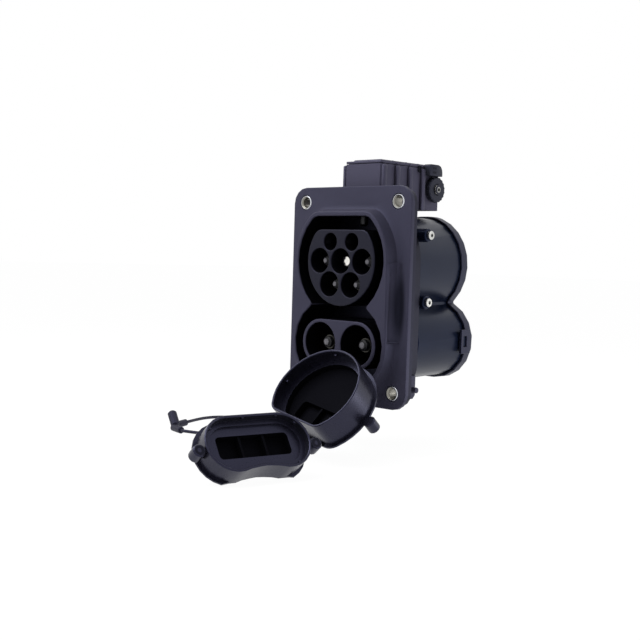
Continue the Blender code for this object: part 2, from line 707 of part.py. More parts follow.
def rear_housing():
    solid = Solid()
    stations = (REAR_FRONT, REAR_FRONT + 0.5, REAR_BACK)
    outer_front, outer_back = solid.skin([at_y(rear_outline(stations[0], -0.5), stations[0])]
                                         + [at_y(rear_outline(y), y) for y in stations[1:]])
    inner_back, inner_front = solid.skin([at_y(rear_outline(y, -REAR_WALL), y)
                                          for y in (REAR_BACK, SPIGOT_BACK + 1.0)]
                                         + [at_y(spigot_outline(GAP), y) for y in (SPIGOT_BACK, REAR_FRONT)])
    solid.cap(outer_back, inner_back)
    solid.cap(outer_front, inner_front)
    shell = solid.done("rear_housing", REAR, 0.3)
    face_x = SCREW_HEAD_X - SCREW_HEAD_T
    bosses = [lambda n, s=s, z=z: turned(n, [(SCREW_BOSS_R, s * 18), (SCREW_BOSS_R, s * (face_x - 0.4)),
                                             (SCREW_BOSS_R - 0.4, s * face_x)],
                                         (0, SCREW_Y, z), "X", 16) for s, z, reach in side_screws()]
    boolean(shell, joined("rear_boss_addition", bosses), "UNION")
    room = Solid()
    ahead, behind = room.skin([at_y(spigot_outline(grow), y) for grow, y in
                               ((SEAL_W + GAP, BASE_BACK - 4), (SEAL_W + GAP, REAR_FRONT),
                                (GAP, REAR_FRONT + 0.001), (GAP, SPIGOT_BACK))])
    room.cap(ahead)
    room.cap(behind)
    boolean(shell, room.done("spigot_room_cutter"))
    bores = [lambda n, s=s, z=z: turned(n, [(SCREW_SHANK_R + GAP, s * 15), (SCREW_SHANK_R + GAP, s * 40)],
                                        (0, SCREW_Y, z), "X", 10) for s, z, reach in side_screws()]
    boolean(shell, joined("rear_bore_cutter", bores))
    catch_x = SPIGOT_DC_X + REAR_DC_R
    catches = [lambda n, s=s: prism(n, box_outline(*sorted((s * (catch_x - 1.0), s * (catch_x + 1.5))),
                                                   REAR_BACK - LATCH_REACH + 2.2, REAR_BACK - 4.4),
                                    -REAR_DC_DROP - 2.6, -REAR_DC_DROP + 2.6, axis="Z") for s in (-1, 1)]
    boolean(shell, joined("rear_catch_addition", catches), "UNION")
    return shell


def side_cover_screws():
    under = SCREW_HEAD_X - SCREW_HEAD_T + GAP
    for number, (side, z, reach) in enumerate(side_screws(), 1):
        tip = reach - SPIGOT_WALL * 0.9
        profile = [(SCREW_HEAD_R * 0.45, SCREW_HEAD_X - 0.5), (SCREW_HEAD_R * 0.45, SCREW_HEAD_X + GAP),
                   (SCREW_HEAD_R - 0.3, SCREW_HEAD_X + GAP), (SCREW_HEAD_R, SCREW_HEAD_X),
                   (SCREW_HEAD_R, under), (SCREW_SHANK_R, under), (SCREW_SHANK_R, tip + 0.6),
                   (SCREW_SHANK_R * 0.6, tip)]
        turned(f"cover_screw_{number}", [(r, side * w) for r, w in profile], (0, SCREW_Y, z), "X", 12,
               colour=STEEL, rough=0.3, metal=1.0)


def rear_cover():
    back = REAR_BACK + GAP
    rim = GAP + COVER_SKIRT_T
    solid = Solid()
    skirt_front, face = solid.skin([at_y(rear_outline(REAR_BACK, rim), back - COVER_SKIRT),
                                    at_y(rear_outline(REAR_BACK, rim), back + COVER_T - 0.8),
                                    at_y(rear_outline(REAR_BACK, rim - 0.8), back + COVER_T)])
    inner_front, inner_back = solid.skin([at_y(rear_outline(REAR_BACK - COVER_SKIRT, GAP), back - COVER_SKIRT),
                                          at_y(rear_outline(REAR_BACK, GAP), back)])
    solid.cap(skirt_front, inner_front)
    holes = [solid.skin([at_y(circle(x, z, r + GAP, n), back), at_y(circle(x, z, r + GAP, n), back + COVER_T)])
             for x, z, r, n in gland_places()]
    solid.cap(inner_back, *[h[0] for h in holes])
    solid.cap(face, *[h[1] for h in holes])
    cover = solid.done("rear_cover", REAR, 0.4)
    arm_x = SPIGOT_DC_X + REAR_DC_R + rim
    arms = [lambda n, s=s: prism(n, box_outline(*sorted((s * (arm_x - 0.9), s * (arm_x - 0.9 + LATCH_T))),
                                                REAR_BACK - LATCH_REACH, REAR_BACK - 1.0),
                                 -REAR_DC_DROP - LATCH_H / 2, -REAR_DC_DROP + LATCH_H / 2, axis="Z")
            for s in (-1, 1)]
    boolean(cover, joined("cover_arm_addition", arms), "UNION")
    windows = [lambda n, s=s: prism(n, box_outline(*sorted((s * (arm_x - 3.0), s * (arm_x + 3.0))),
                                                   REAR_BACK - LATCH_REACH + 1.9, REAR_BACK - 4.1),
                                    -REAR_DC_DROP - 2.9, -REAR_DC_DROP + 2.9, axis="Z") for s in (-1, 1)]
    boolean(cover, joined("cover_window_cutter", windows))
    return cover


def gland_places():
    yield 0.0, -REAR_AC_DROP, AC_GLAND_R, 24
    for x in (-1, 1):
        yield x * (SPIGOT_DC_X + 0.6), -REAR_DC_DROP, DC_GLAND_R, 20


def cable_glands():
    names = ("ac_cable_gland", "dc_cable_gland_left", "dc_cable_gland_right")
    bores = (AC_CABLE_R, DC_CABLE_R, DC_CABLE_R)
    front = REAR_BACK + GAP
    back = front + COVER_T
    for name, bore, (x, z, r, n) in zip(names, bores, gland_places()):
        turned(name, [(bore, front - 2.0), (r + GLAND_LIP, front - 2.0), (r + GLAND_LIP, front - GAP),
                      (r, front - GAP), (r, back + GAP), (r + GLAND_LIP, back + GAP),
                      (r + GLAND_LIP * 0.6, back + 1.8), (bore + 1.5, back + GLAND_OUT),
                      (bore, back + GLAND_OUT)],
               (x, 0, z), steps=n, hollow=True, colour=RUBBER, rough=0.7)


# Lock actuator on top of the base


def actuator_plan(inset=0.0, ribs=True):
    """The actuator's outline seen from above, with three thin ribs on each side."""
    half = ACT_HALF_W - inset
    front, back = ACT_FRONT + inset, ACT_BACK - inset
    right = [(0.0, front), (half - 0.8, front)]
    right += [(half, front + 0.8)]
    if ribs:
        for y in (20.0, 31.0, 41.0):
            right += [(half, y - 0.8), (half + 0.7, y - 0.5), (half + 0.7, y + 0.5), (half, y + 0.8)]
    right += [(half, back - 1.5), (half - 1.5, back), (0.0, back)]
    left = [(-x, y) for x, y in reversed(right) if x > 1e-6]
    return [(x + ACT_X, y) for x, y in right + left]


def lock_housing():
    rim_z = ACT_TOP - ACT_LID_T - ACT_PAD_T - GAP
    floor_z = ACT_BOTTOM + ACT_WALL
    foot_z = BASE_TOP_Z + GAP
    solid = Solid()
    bottom, rim = solid.skin([at_z(actuator_plan(), ACT_BOTTOM), at_z(actuator_plan(), rim_z)])
    inner_rim, inner_floor = solid.skin([at_z(actuator_plan(ACT_WALL, False), rim_z),
                                         at_z(actuator_plan(ACT_WALL, False), floor_z)])
    solid.cap(rim, inner_rim)
    solid.cap(bottom)
    solid.cap(inner_floor)
    tub = solid.done("lock_housing", GREY, 0.5)
    foot = lambda n: prism(n, [(ACT_FRONT + 0.3, ACT_BOTTOM + 0.7), (FOOT_BACK + 3.5, ACT_BOTTOM + 0.7),
                               (FOOT_BACK, ACT_BOTTOM), (BASE_BACK - 0.6, foot_z),
                               (ACT_FRONT + 0.3, foot_z)],
                           ACT_X - 8.0, ACT_X + 8.0, axis="X")
    ears = lambda n: prism(n, rounded_rect(ACT_X - ACT_HALF_W - EAR_W, ACT_X + ACT_HALF_W + EAR_W,
                                           EAR_Y - 4.3, EAR_Y + 4.3, 2.5, 3), foot_z, foot_z + EAR_T, axis="Z")
    boolean(tub, foot("lock_foot_addition"), "UNION")
    boolean(tub, ears("lock_ear_addition"), "UNION")
    holes = [lambda n, x=x, y=y, r=r, z=z: turned(n, [(r, foot_z - 1), (r, z)], (x, y, 0), "Z", 14)
             for x, y, r, z in [*[(x, EAR_Y, LOCK_SCREW_R + GAP, foot_z + 4) for x in ear_screw_x()],
                                (0.0, BOLT_Y, BOLT_R + GAP, floor_z + 2)]]
    holes.append(lambda n: turned(n, [(1.6, ACT_X + ACT_HALF_W - 3), (1.6, ACT_X + ACT_HALF_W + 3)],
                                  (0, REAR_SHAFT_Y, SHAFT_Z), "X", 12))
    boolean(tub, joined("lock_hole_cutter", holes))
    return tub


def ear_screw_x():
    offset = ACT_HALF_W + EAR_W / 2
    return ACT_X - offset, ACT_X + offset


def lock_lid():
    low = ACT_TOP - ACT_LID_T - ACT_PAD_T
    solid = Solid()
    bottom, top = solid.skin([at_z(actuator_plan(), low), at_z(actuator_plan(), low + ACT_LID_T),
                              at_z(actuator_plan(ACT_PAD_INSET), low + ACT_LID_T + 0.001),
                              at_z(actuator_plan(ACT_PAD_INSET + 0.4), ACT_TOP)])
    solid.cap(bottom)
    solid.cap(top)
    solid.done("lock_lid", GREY, 0.5)


def ear_screws():
    head_z = BASE_TOP_Z + EAR_T + 2 * GAP
    tip_z = BASE_TOP_Z - LOCK_SCREW_BITE
    for side, x in zip(("left", "right"), ear_screw_x()):
        turned(f"lock_screw_{side}", [(LOCK_SCREW_R - 0.4, tip_z), (LOCK_SCREW_R, tip_z + 0.4),
                                      (LOCK_SCREW_R, head_z), (2.6, head_z), (2.6, head_z + 1.7),
                                      (2.2, head_z + 2.1)],
               (x, EAR_Y, 0), "Z", 12, colour=STEEL, rough=0.3, metal=1.0)


def gear(y, z, r, teeth, height, start):
    """A gear's outline in the Y-Z plane; start is the angle of one tooth."""
    points = []
    for i in range(teeth):
        for share, radius in ((-TOOTH_FOOT, r - height / 2), (-TOOTH_TIP, r + height / 2),
                              (TOOTH_TIP, r + height / 2), (TOOTH_FOOT, r - height / 2)):
            a = math.radians(start + (i + share) * 360.0 / teeth)
            points.append((y + radius * math.cos(a), z + radius * math.sin(a)))
    return points


def rack_teeth(places, root, tip):
    """Teeth of a rack, as pairs of distance along it and height."""
    points = []
    for at in places:
        points += [(at - TOOTH_FOOT * PITCH, root), (at - TOOTH_TIP * PITCH, tip),
                   (at + TOOTH_TIP * PITCH, tip), (at + TOOTH_FOOT * PITCH, root)]
    return points


def shaft_along_x(name, sections, origin, end_bore=(), **look):
    """One piece turned and cut on an axis along X; sections hold (x from, x to, outline)."""
    solid = Solid()
    last = None
    for x0, x1, outline in sections:
        start, end = solid.skin([at_x(outline, x0), at_x(outline, x1)])
        if last:
            solid.cap(last, start)
        else:
            solid.cap(start)
        last = end
    if end_bore:
        r, depth = end_bore
        ring = circle(origin[1], origin[2], r, 10)
        solid.cap(last, solid.pocket(at_x(ring, sections[-1][1]), at_x(ring, sections[-1][1] - depth)))
    else:
        solid.cap(last)
    return solid.done(name, origin=origin, **look)


def release_shaft():
    axis = (0, REAR_SHAFT_Y, SHAFT_Z)
    plain = circle(*axis[1:], SHAFT_R, 12)
    wheel = gear(*axis[1:], WHEEL_R, WHEEL_TEETH, WORM_TOOTH, 90 + 180 / WHEEL_TEETH)
    pinion = gear(*axis[1:], PINION_R, PINION_TEETH, TOOTH, 0)
    shaft_along_x("release_shaft", [(FRAME_LEFT + 0.1, WHEEL_X, plain), (WHEEL_X, WHEEL_X + WHEEL_W, wheel),
                                    (WHEEL_X + WHEEL_W, RACK_X, plain), (RACK_X, RACK_X + RACK_W, pinion),
                                    (RACK_X + RACK_W, DISC_X + DISC_T - 1.0, plain)],
                  axis, (0.9, 3.0), colour=STEEL, rough=0.4, metal=1.0)


def front_pinion():
    axis = (0, FRONT_SHAFT_Y, SHAFT_Z)
    plain = circle(*axis[1:], SHAFT_R, 12)
    pinion = gear(*axis[1:], PINION_R, PINION_TEETH, TOOTH, 0)
    shaft_along_x("front_pinion", [(FRAME_LEFT + 0.1, -BOLT_HEAD_W / 2 - 0.5, plain),
                                   (-BOLT_HEAD_W / 2 - 0.5, RACK_X + RACK_W + 0.5, pinion),
                                   (RACK_X + RACK_W + 0.5, FRAME_RIGHT - 0.1, plain)],
                  axis, colour=GREY, rough=0.5)


def rack_bar():
    """Joins both pinions; it slides forward as the bolt is drawn."""
    root = SHAFT_Z - PINION_R - MESH_PLAY - TOOTH / 2
    front_end, back_end = FRONT_SHAFT_Y - 3.8, REAR_SHAFT_Y + 4.2
    front = rack_teeth([FRONT_SHAFT_Y + (k - 1.5) * PITCH for k in range(6)], root, root + TOOTH)
    back = rack_teeth([REAR_SHAFT_Y + (k - 1.5) * PITCH for k in range(4)], root, root + TOOTH)
    outline = [(front_end, RACK_BASE_Z), (front_end, root), *front, *back, (back_end, root),
               (back_end, RACK_BASE_Z)]
    prism("rack_bar", outline, RACK_X, RACK_X + RACK_W, axis="X", colour=GREY, rough=0.5)


def lock_bolt():
    tip = BASE_TOP_Z - HOUSING_WALL - BOLT_REACH
    root = FRONT_SHAFT_Y - PINION_R - MESH_PLAY - TOOTH / 2
    low, high = 1.3, SHAFT_Z + 2.1 * PITCH
    bolt = turned("lock_bolt", [(BOLT_R - 0.8, tip), (BOLT_R, tip + 0.9), (BOLT_R, low + 2.0)],
                  (0, BOLT_Y, 0), "Z", 16, colour=STEEL, rough=0.3, metal=1.0)
    teeth = rack_teeth([SHAFT_Z + (k - 2.5) * PITCH for k in range(5)], root, root + TOOTH)
    outline = [(ACT_FRONT + ACT_WALL + GAP, low), *[(y, z) for z, y in [(low, root), *teeth, (high, root)]],
               (ACT_FRONT + ACT_WALL + GAP, high)]
    head = prism("bolt_head_addition", outline, -BOLT_HEAD_W / 2, BOLT_HEAD_W / 2, axis="X")
    boolean(bolt, head, "UNION")


def motor_worm():
    """A worm whose thread is a ridge on a round bar; one turn moves the wheel by one tooth."""
    lead = 2 * math.pi * WHEEL_R / WHEEL_TEETH
    centre_z = SHAFT_Z + WHEEL_R + WORM_R + MESH_PLAY
    centre_x = WHEEL_X + WHEEL_W / 2
    sides = 16
    start, rows = REAR_SHAFT_Y - 3.4, 29

    def ring(y, radius_at):
        points = []
        for j in range(sides):
            a = 2 * math.pi * j / sides
            r = radius_at(y, a)
            points.append(Vector((centre_x + r * math.sin(a), y, centre_z + r * math.cos(a))))
        return points

    def thread(y, a):
        off = ((y - REAR_SHAFT_Y) / lead - (a - math.pi) / (2 * math.pi) + 0.5) % 1.0 - 0.5
        share = min(1.0, max(0.0, (TOOTH_FOOT - abs(off)) / (TOOTH_FOOT - TOOTH_TIP)))
        return WORM_R + WORM_TOOTH * (share - 0.5)

    def plain(y, a):
        return SHAFT_R

    solid = Solid()
    rings = [ring(MOTOR_BACK - 2.0, plain), ring(start - 0.1, plain)]
    rings += [ring(start + i * lead / 8, thread) for i in range(rows)]
    end = start + (rows - 1) * lead / 8
    rings += [ring(end + 0.1, plain), ring(end + 0.8, plain)]
    first, last = solid.skin(rings)
    solid.cap(first)
    solid.cap(last)
    solid.done("motor_worm", STEEL, 0.4, 1.0, origin=(centre_x, REAR_SHAFT_Y, centre_z))


def lock_motor():
    centre = (WHEEL_X + WHEEL_W / 2, 0, SHAFT_Z + WHEEL_R + WORM_R + MESH_PLAY)
    bore = SHAFT_R + GAP
    turned("lock_motor", [(MOTOR_R - 0.8, MOTOR_FRONT), (MOTOR_R, MOTOR_FRONT + 0.8),
                          (MOTOR_R, MOTOR_BACK - 1.0), (bore + 0.9, MOTOR_BACK - 1.0),
                          (bore + 0.9, MOTOR_BACK), (bore, MOTOR_BACK), (bore, MOTOR_BACK - 4.0)],
           centre, steps=20, colour=STEEL, rough=0.35, metal=1.0)


def mechanism_frame():
    """A tray that carries both shafts in its side walls and the motor in a cradle."""
    low = ACT_BOTTOM + ACT_WALL + GAP
    outline = [(FRAME_LEFT, FRAME_TOP), (FRAME_LEFT, low), (FRAME_RIGHT, low), (FRAME_RIGHT, FRAME_TOP),
               (FRAME_RIGHT - FRAME_WALL, FRAME_TOP), (FRAME_RIGHT - FRAME_WALL, low + FRAME_FLOOR),
               (FRAME_LEFT + FRAME_WALL, low + FRAME_FLOOR), (FRAME_LEFT + FRAME_WALL, FRAME_TOP)]
    frame = prism("mechanism_frame", outline, FRONT_SHAFT_Y - 4.0, ACT_BACK - ACT_WALL - 1.8,
                  colour=GREY, rough=0.6)
    motor_x = WHEEL_X + WHEEL_W / 2
    motor_z = SHAFT_Z + WHEEL_R + WORM_R + MESH_PLAY
    cradle = prism("cradle_addition", box_outline(motor_x - 4.7, motor_x + 4.7, low + 0.2, motor_z - 3.0),
                   MOTOR_FRONT + 3.0, MOTOR_BACK - 3.0)
    boolean(frame, cradle, "UNION")
    cuts = [lambda n: turned(n, [(MOTOR_R + GAP, MOTOR_FRONT), (MOTOR_R + GAP, MOTOR_BACK)],
                             (motor_x, 0, motor_z), steps=20)]
    cuts += [lambda n, y=y: turned(n, [(SHAFT_R + BEARING_PLAY, FRAME_LEFT - 2),
                                       (SHAFT_R + BEARING_PLAY, FRAME_RIGHT + 2)], (0, y, SHAFT_Z), "X", 12) for y in (FRONT_SHAFT_Y, REAR_SHAFT_Y)]
    for number, cut in enumerate(cuts):
        boolean(frame, cut(f"frame_cutter_{number}"))


def release_disc():
    axis = (0, REAR_SHAFT_Y, SHAFT_Z)
    bore = SHAFT_R + GAP
    turned("release_disc", [(bore, DISC_X), (DISC_R, DISC_X), (DISC_R, DISC_X + DISC_T - 0.5),
                            (DISC_R - 0.5, DISC_X + DISC_T), (3.1, DISC_X + DISC_T),
                            (3.1, DISC_X + DISC_T - 0.8), (bore, DISC_X + DISC_T - 0.8)],
           axis, "X", 24, hollow=True, colour=BLACK, rough=0.5, origin=axis)
    head = DISC_X + DISC_T - 0.5
    turned("release_screw", [(0.6, head - 3.0), (0.6, head), (2.6, head), (2.6, head + 1.0),
                             (2.0, head + 1.5)], axis, "X", 14, colour=STEEL, rough=0.25, metal=1.0,
           origin=axis)


def lock_connector():
    x0 = ACT_X + ACT_HALF_W + GAP
    solid = Solid()
    inner, outer = solid.skin([at_x(box_outline(PLUG_FRONT, ACT_BACK, PLUG_LOW, PLUG_HIGH), x)
                               for x in (x0, x0 + PLUG_T)])
    slots = []
    for y in (PLUG_FRONT + 1.2, PLUG_FRONT + 6.6):
        slot = box_outline(y, y + 4.2, PLUG_LOW + 1.2, PLUG_HIGH - 1.2)
        slots.append(solid.pocket(at_x(slot, x0 + PLUG_T), at_x(slot, x0 + 1.0)))
    solid.cap(inner)
    solid.cap(outer, *slots)
    solid.done("lock_connector", GREY, 0.5)


# Loose caps: each fits over its island; here they lie open in front of the socket


def ac_cap_outline(grow):
    return d_outline(0.0, AC_CAP_R + grow, AC_CAP_TOP + grow, AC_CAP_CORNER + grow, 4, 13)


def dc_cap_outline(grow, tips=0.0):
    """Two lobes with a waist between them on one side; tips widens the lobes only, up to that waist."""
    right = [(0.0, DC_CAP_WAIST + grow), (3.4, DC_CAP_WAIST + 0.25 + grow)]
    for angle in [112 - 202 * i / 14 for i in range(15)]:
        r = DC_LOBE_R + grow + (tips if angle < TIP_ANGLE else 0.0)
        right.append(arc(DC_LOBE_X, DC_LOBE_Z, r, angle, angle, 1)[0])
    return mirrored(right)


def cap(name, outline, flange, depth, ledge, shelf, cells, ears, place):
    """cells is the box behind the shelf that a fin or two divide; ears holds the X, height and back of each boss."""
    floor = -depth + CAP_BASE_T
    x0, x1, z0, z1 = cells["box"]
    pit = rounded_rect(x0, x1, z0, z1, 2.0)
    solid = Solid()
    rim, back = solid.skin([at_y(outline(-0.35), 0), at_y(outline(0), -0.35), at_y(outline(0), floor),
                            at_y(flange(CAP_FLANGE), floor), at_y(flange(CAP_FLANGE), -depth + 0.6),
                            at_y(flange(CAP_FLANGE - 0.6), -depth)])
    mouth, bottom = solid.skin([at_y(outline(-CAP_WALL + 0.35), 0), at_y(outline(-CAP_WALL), -0.35),
                                at_y(outline(-CAP_WALL), -ledge), at_y(outline(-CAP_WALL - CAP_LEDGE_W), -ledge),
                                at_y(outline(-CAP_WALL - CAP_LEDGE_W), -shelf)])
    pit_mouth, pit_floor = solid.skin([at_y(pit, -shelf), at_y(pit, floor)])
    solid.cap(rim, mouth)
    solid.cap(back)
    solid.cap(bottom, pit_mouth)
    solid.cap(pit_floor)
    body = solid.done(name, HOUSING, 0.4, place=place)
    for number, x in enumerate(cells["fins"]):
        fin = prism(f"{name}_fin_{number}", box_outline(x - CAP_FIN_T / 2, x + CAP_FIN_T / 2, z0 - 0.5, z1 + 0.5),
                    floor - 0.5, -shelf - 0.8, place=place)
        boolean(body, fin, "UNION")
    for number, (x, z, back_y) in enumerate(ears):
        boss = turned(f"{name}_ear_{number}", [(EAR_R, back_y), (EAR_R, back_y + EAR_L - 0.5),
                                               (EAR_R - 0.5, back_y + EAR_L)], (x, 0, z), place=place)
        boolean(body, boss, "UNION")


def cap_place(x, y, z, turn, tilt, spin):
    return (Matrix.Translation((x, y, z)) @ Matrix.Rotation(math.radians(turn), 4, "Z")
            @ Matrix.Rotation(math.radians(tilt), 4, "X") @ Matrix.Rotation(math.radians(spin), 4, "Y"))


AC_CAP_PLACE = cap_place(AC_CAP_X, AC_CAP_Y, -DC_DROP - AC_CAP_SINK, 2.4, 138.85, -11.8)
DC_CAP_PLACE = cap_place(DC_CAP_X, DC_CAP_Y, -DC_DROP - DC_CAP_SINK, 76.4, 142.8, 0.2)
AC_EARS = [(-28.6, -1.0, -20.5), (28.6, -1.0, -20.5)]
DC_EARS = [(29.6, 3.4, -7.0), (-29.6, 2.2, -7.0)]


def loose_caps():
    cap("ac_cap", ac_cap_outline, ac_cap_outline, AC_CAP_DEPTH, AC_CAP_LEDGE, AC_CAP_SHELF,
        {"box": (-13.0, 13.0, 3.4, 13.2), "fins": [0.0]}, AC_EARS, AC_CAP_PLACE)
    cap("dc_cap", dc_cap_outline, lambda grow: dc_cap_outline(0.0, grow), DC_CAP_DEPTH, DC_CAP_LEDGE,
        DC_CAP_SHELF, {"box": (-18.5, 18.5, -5.4, 5.6), "fins": [-6.2, 6.2]}, DC_EARS, DC_CAP_PLACE)


def rod(name, start, end, r, taper, **look):
    """A round bar between two points, with both ends chamfered."""
    axis = Vector(end) - Vector(start)
    place = Matrix.Translation(start) @ axis.to_track_quat("Z", "Y").to_matrix().to_4x4()
    profile = [(r - taper, 0), (r, taper), (r, axis.length - taper), (r - taper, axis.length)]
    return turned(name, profile, axis="Z", steps=12, place=place, **look)


def strap_anchor():
    head = rod("strap_anchor", (-80.6, -46.6, -123.2), (-86.2, -45.2, -116.2), 2.5, 0.9, colour=RUBBER,
               rough=0.7)
    for number, (start, end) in enumerate(zip(SLEEVE_STARTS, SLEEVE_ENDS)):
        boolean(head, rod(f"anchor_sleeve_addition_{number}", start, end, 1.9, 0.3), "UNION")


SLEEVE_STARTS = ((-82.0, -46.8, -123.2), (-80.8, -48.2, -123.9))
SLEEVE_ENDS = ((-84.2, -36.6, -122.6), (-71.4, -50.2, -124.0))


def smooth_route(points, spacing):
    """Evenly spaced points on a smooth curve through the given ones, with a straight first and last step."""
    fine = []
    for a, b, c, d in zip(points, points[1:], points[2:], points[3:]):
        for i in range(20):
            t = i / 20
            fine.append(0.5 * (2 * b + (c - a) * t + (2 * a - 5 * b + 4 * c - d) * t ** 2
                               + (3 * b - a - 3 * c + d) * t ** 3))
    fine.append(points[-2])
    length = sum((b - a).length for a, b in zip(fine, fine[1:]))
    count = round(length / spacing)
    route = [points[0], fine[0]]
    run = 0.0
    for a, b in zip(fine, fine[1:]):
        run += (b - a).length
        if run >= length * (len(route) - 1) / count and len(route) <= count:
            route.append(b)
    return [*route, points[-2], points[-1]]


def strap(name, points):
    curve = bpy.data.curves.new(name, "CURVE")
    curve.dimensions = "3D"
    curve.bevel_depth = STRAP_R * MM
    curve.bevel_resolution = 2
    curve.use_fill_caps = True
    spline = curve.splines.new("POLY")
    spline.points.add(len(points) - 1)
    for slot, point in zip(spline.points, points):
        slot.co = (*(point * MM), 1.0)
    obj = bpy.data.objects.new(name, curve)
    bpy.context.scene.collection.objects.link(obj)
    curve.materials.append(finish(name, RUBBER, 0.7, 0.0))
    return obj


def straps():
    """Each strap runs from its sleeve on the anchor to the back of its cap's ear."""
    lie = FLOOR_Z + STRAP_R + 0.35
    routes = (("ac_cap_strap", [(-89.9, -17.9, -122.6), (-90.4, -3.1, -123.4), (-82, 8, lie), (-62, 9, lie),
                                (-42, 5, lie), (-27, -1, -123.6), (-17.5, -7.5, -116.5)],
               AC_CAP_PLACE, AC_EARS[0]),
              ("dc_cap_strap", [(-60.5, -46.6, lie), (-44, -43, lie), (-22, -47, lie), (0, -53, lie),
                                (17, -56.5, -124.1), (27.2, -58.2, -122.3)], DC_CAP_PLACE, DC_EARS[0]))
    for (name, middle, place, (x, z, back_y)), start, end in zip(routes, SLEEVE_STARTS, SLEEVE_ENDS):
        out = (Vector(end) - Vector(start)).normalized()
        seats = [Vector(end) + out * w for w in (CORD_SEAT, 2.0)]
        ears = [place @ Vector((x, back_y - w, z)) for w in (2.0, CORD_SEAT)]
        strap(name, smooth_route([*seats, *[Vector(p) for p in middle], *ears], 4.2))


front_housing()
mounting_bushings()
contact_carriers()
contacts()
retainers()
temperature_sensors()
housing_seal()
rear_housing()
side_cover_screws()
rear_cover()
cable_glands()
lock_housing()
lock_lid()
ear_screws()
mechanism_frame()
release_shaft()
front_pinion()
rack_bar()
lock_bolt()
lock_motor()
motor_worm()
release_disc()
lock_connector()
loose_caps()
strap_anchor()
straps()
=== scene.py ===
# %% [markdown]
# # Charge port inlet: the looks
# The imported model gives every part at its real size. This script adds what a photograph shows on top of it:
# softened moulded edges, ribs, knurls and recesses, the surface of each plastic and metal, the two loose
# caps with their straps, and the light of a product studio. Lengths are written in millimetres and turned
# to metres.

# %% Frame
import math

import bmesh
import bpy
from mathutils import Matrix, Vector


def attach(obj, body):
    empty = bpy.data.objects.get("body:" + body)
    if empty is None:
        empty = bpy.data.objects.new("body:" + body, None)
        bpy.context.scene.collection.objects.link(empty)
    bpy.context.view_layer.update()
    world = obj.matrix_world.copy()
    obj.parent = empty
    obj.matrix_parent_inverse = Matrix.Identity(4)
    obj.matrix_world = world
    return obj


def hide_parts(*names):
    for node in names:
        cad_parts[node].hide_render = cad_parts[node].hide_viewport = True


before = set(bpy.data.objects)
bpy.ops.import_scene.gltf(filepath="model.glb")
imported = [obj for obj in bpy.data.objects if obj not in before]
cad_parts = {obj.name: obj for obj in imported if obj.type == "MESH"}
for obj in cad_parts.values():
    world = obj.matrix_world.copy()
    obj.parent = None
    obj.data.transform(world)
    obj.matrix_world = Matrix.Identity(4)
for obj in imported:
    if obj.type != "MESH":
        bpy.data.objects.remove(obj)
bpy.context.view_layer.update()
MM = 0.001

# %% [markdown]
# The camera stands about 0.6 m away, 43 degrees to the inlet's right and a few degrees above the middle,
# with a lens of 60 mm on a full frame. It is rolled by under two degrees, as the photographer's was.

# %% Camera
scene = bpy.context.scene
scene.view_settings.view_transform = "Standard"

CAMERA_PLACE = Vector((373.59, -416.79, -28.15)) * MM
CAMERA_TURN = math.radians(43.288)
CAMERA_RISE = math.radians(3.436)
CAMERA_ROLL = math.radians(1.742)
CAMERA_LENS = 60.447
FULL_FRAME_WIDTH = 36.0

forward = Vector((-math.sin(CAMERA_TURN) * math.cos(CAMERA_RISE),
                  math.cos(CAMERA_TURN) * math.cos(CAMERA_RISE), -math.sin(CAMERA_RISE)))
level = Vector((math.cos(CAMERA_TURN), math.sin(CAMERA_TURN), 0.0))
upright = level.cross(forward)
right = level * math.cos(CAMERA_ROLL) + upright * math.sin(CAMERA_ROLL)
up = upright * math.cos(CAMERA_ROLL) - level * math.sin(CAMERA_ROLL)

camera = bpy.data.objects.new("camera", bpy.data.cameras.new("camera"))
scene.collection.objects.link(camera)
camera.data.lens = CAMERA_LENS
camera.data.sensor_width = FULL_FRAME_WIDTH
camera.data.clip_start = 0.01
camera_axes = Matrix((right, up, -forward)).transposed().to_4x4()
camera.matrix_world = Matrix.Translation(CAMERA_PLACE) @ camera_axes
scene.camera = camera
print("camera at", [round(c, 3) for c in CAMERA_PLACE])

# %% [markdown]
# Colours are written as the sRGB hex values that a colour picker shows, and one function turns them linear.
# A second small function adds a shader node with its settings and links, so each material reads as a recipe.

# %% Colour and node helpers


def colour(hex_value):
    """An sRGB hex value as linear RGBA."""
    parts = [int(hex_value[i:i + 2], 16) / 255 for i in (1, 3, 5)]
    return (*[c / 12.92 if c <= 0.04045 else ((c + 0.055) / 1.055) ** 2.4 for c in parts], 1.0)


def add(tree, kind, inputs=None, **settings):
    """A node with its settings; inputs holds values, or sockets to link."""
    node = tree.nodes.new(kind)
    for name, value in settings.items():
        setattr(node, name, value)
    for name, value in (inputs or {}).items():
        if isinstance(value, bpy.types.NodeSocket):
            tree.links.new(value, node.inputs[name])
        else:
            node.inputs[name].default_value = value
    return node


def new_material(name, roughness, metallic=0.0, ior=1.5):
    material = bpy.data.materials.new(name)
    material.use_nodes = True
    tree = material.node_tree
    shader = tree.nodes["Principled BSDF"]
    shader.inputs["Roughness"].default_value = roughness
    shader.inputs["Metallic"].default_value = metallic
    shader.inputs["IOR"].default_value = ior
    return material, tree, shader


# %% [markdown]
# ## Moulded plastics
# The housings are glass-filled polyamide, moulded in a spark-eroded tool: black with a faint violet cast, a
# grain of about half a millimetre and a slow cloudiness where the melt flowed. Grain that fine would vanish
# in the render, so it is drawn at 0.6 mm, and the clouds at 22 mm.

# %% Plastic recipe
CLOUD_MM = 22.2222


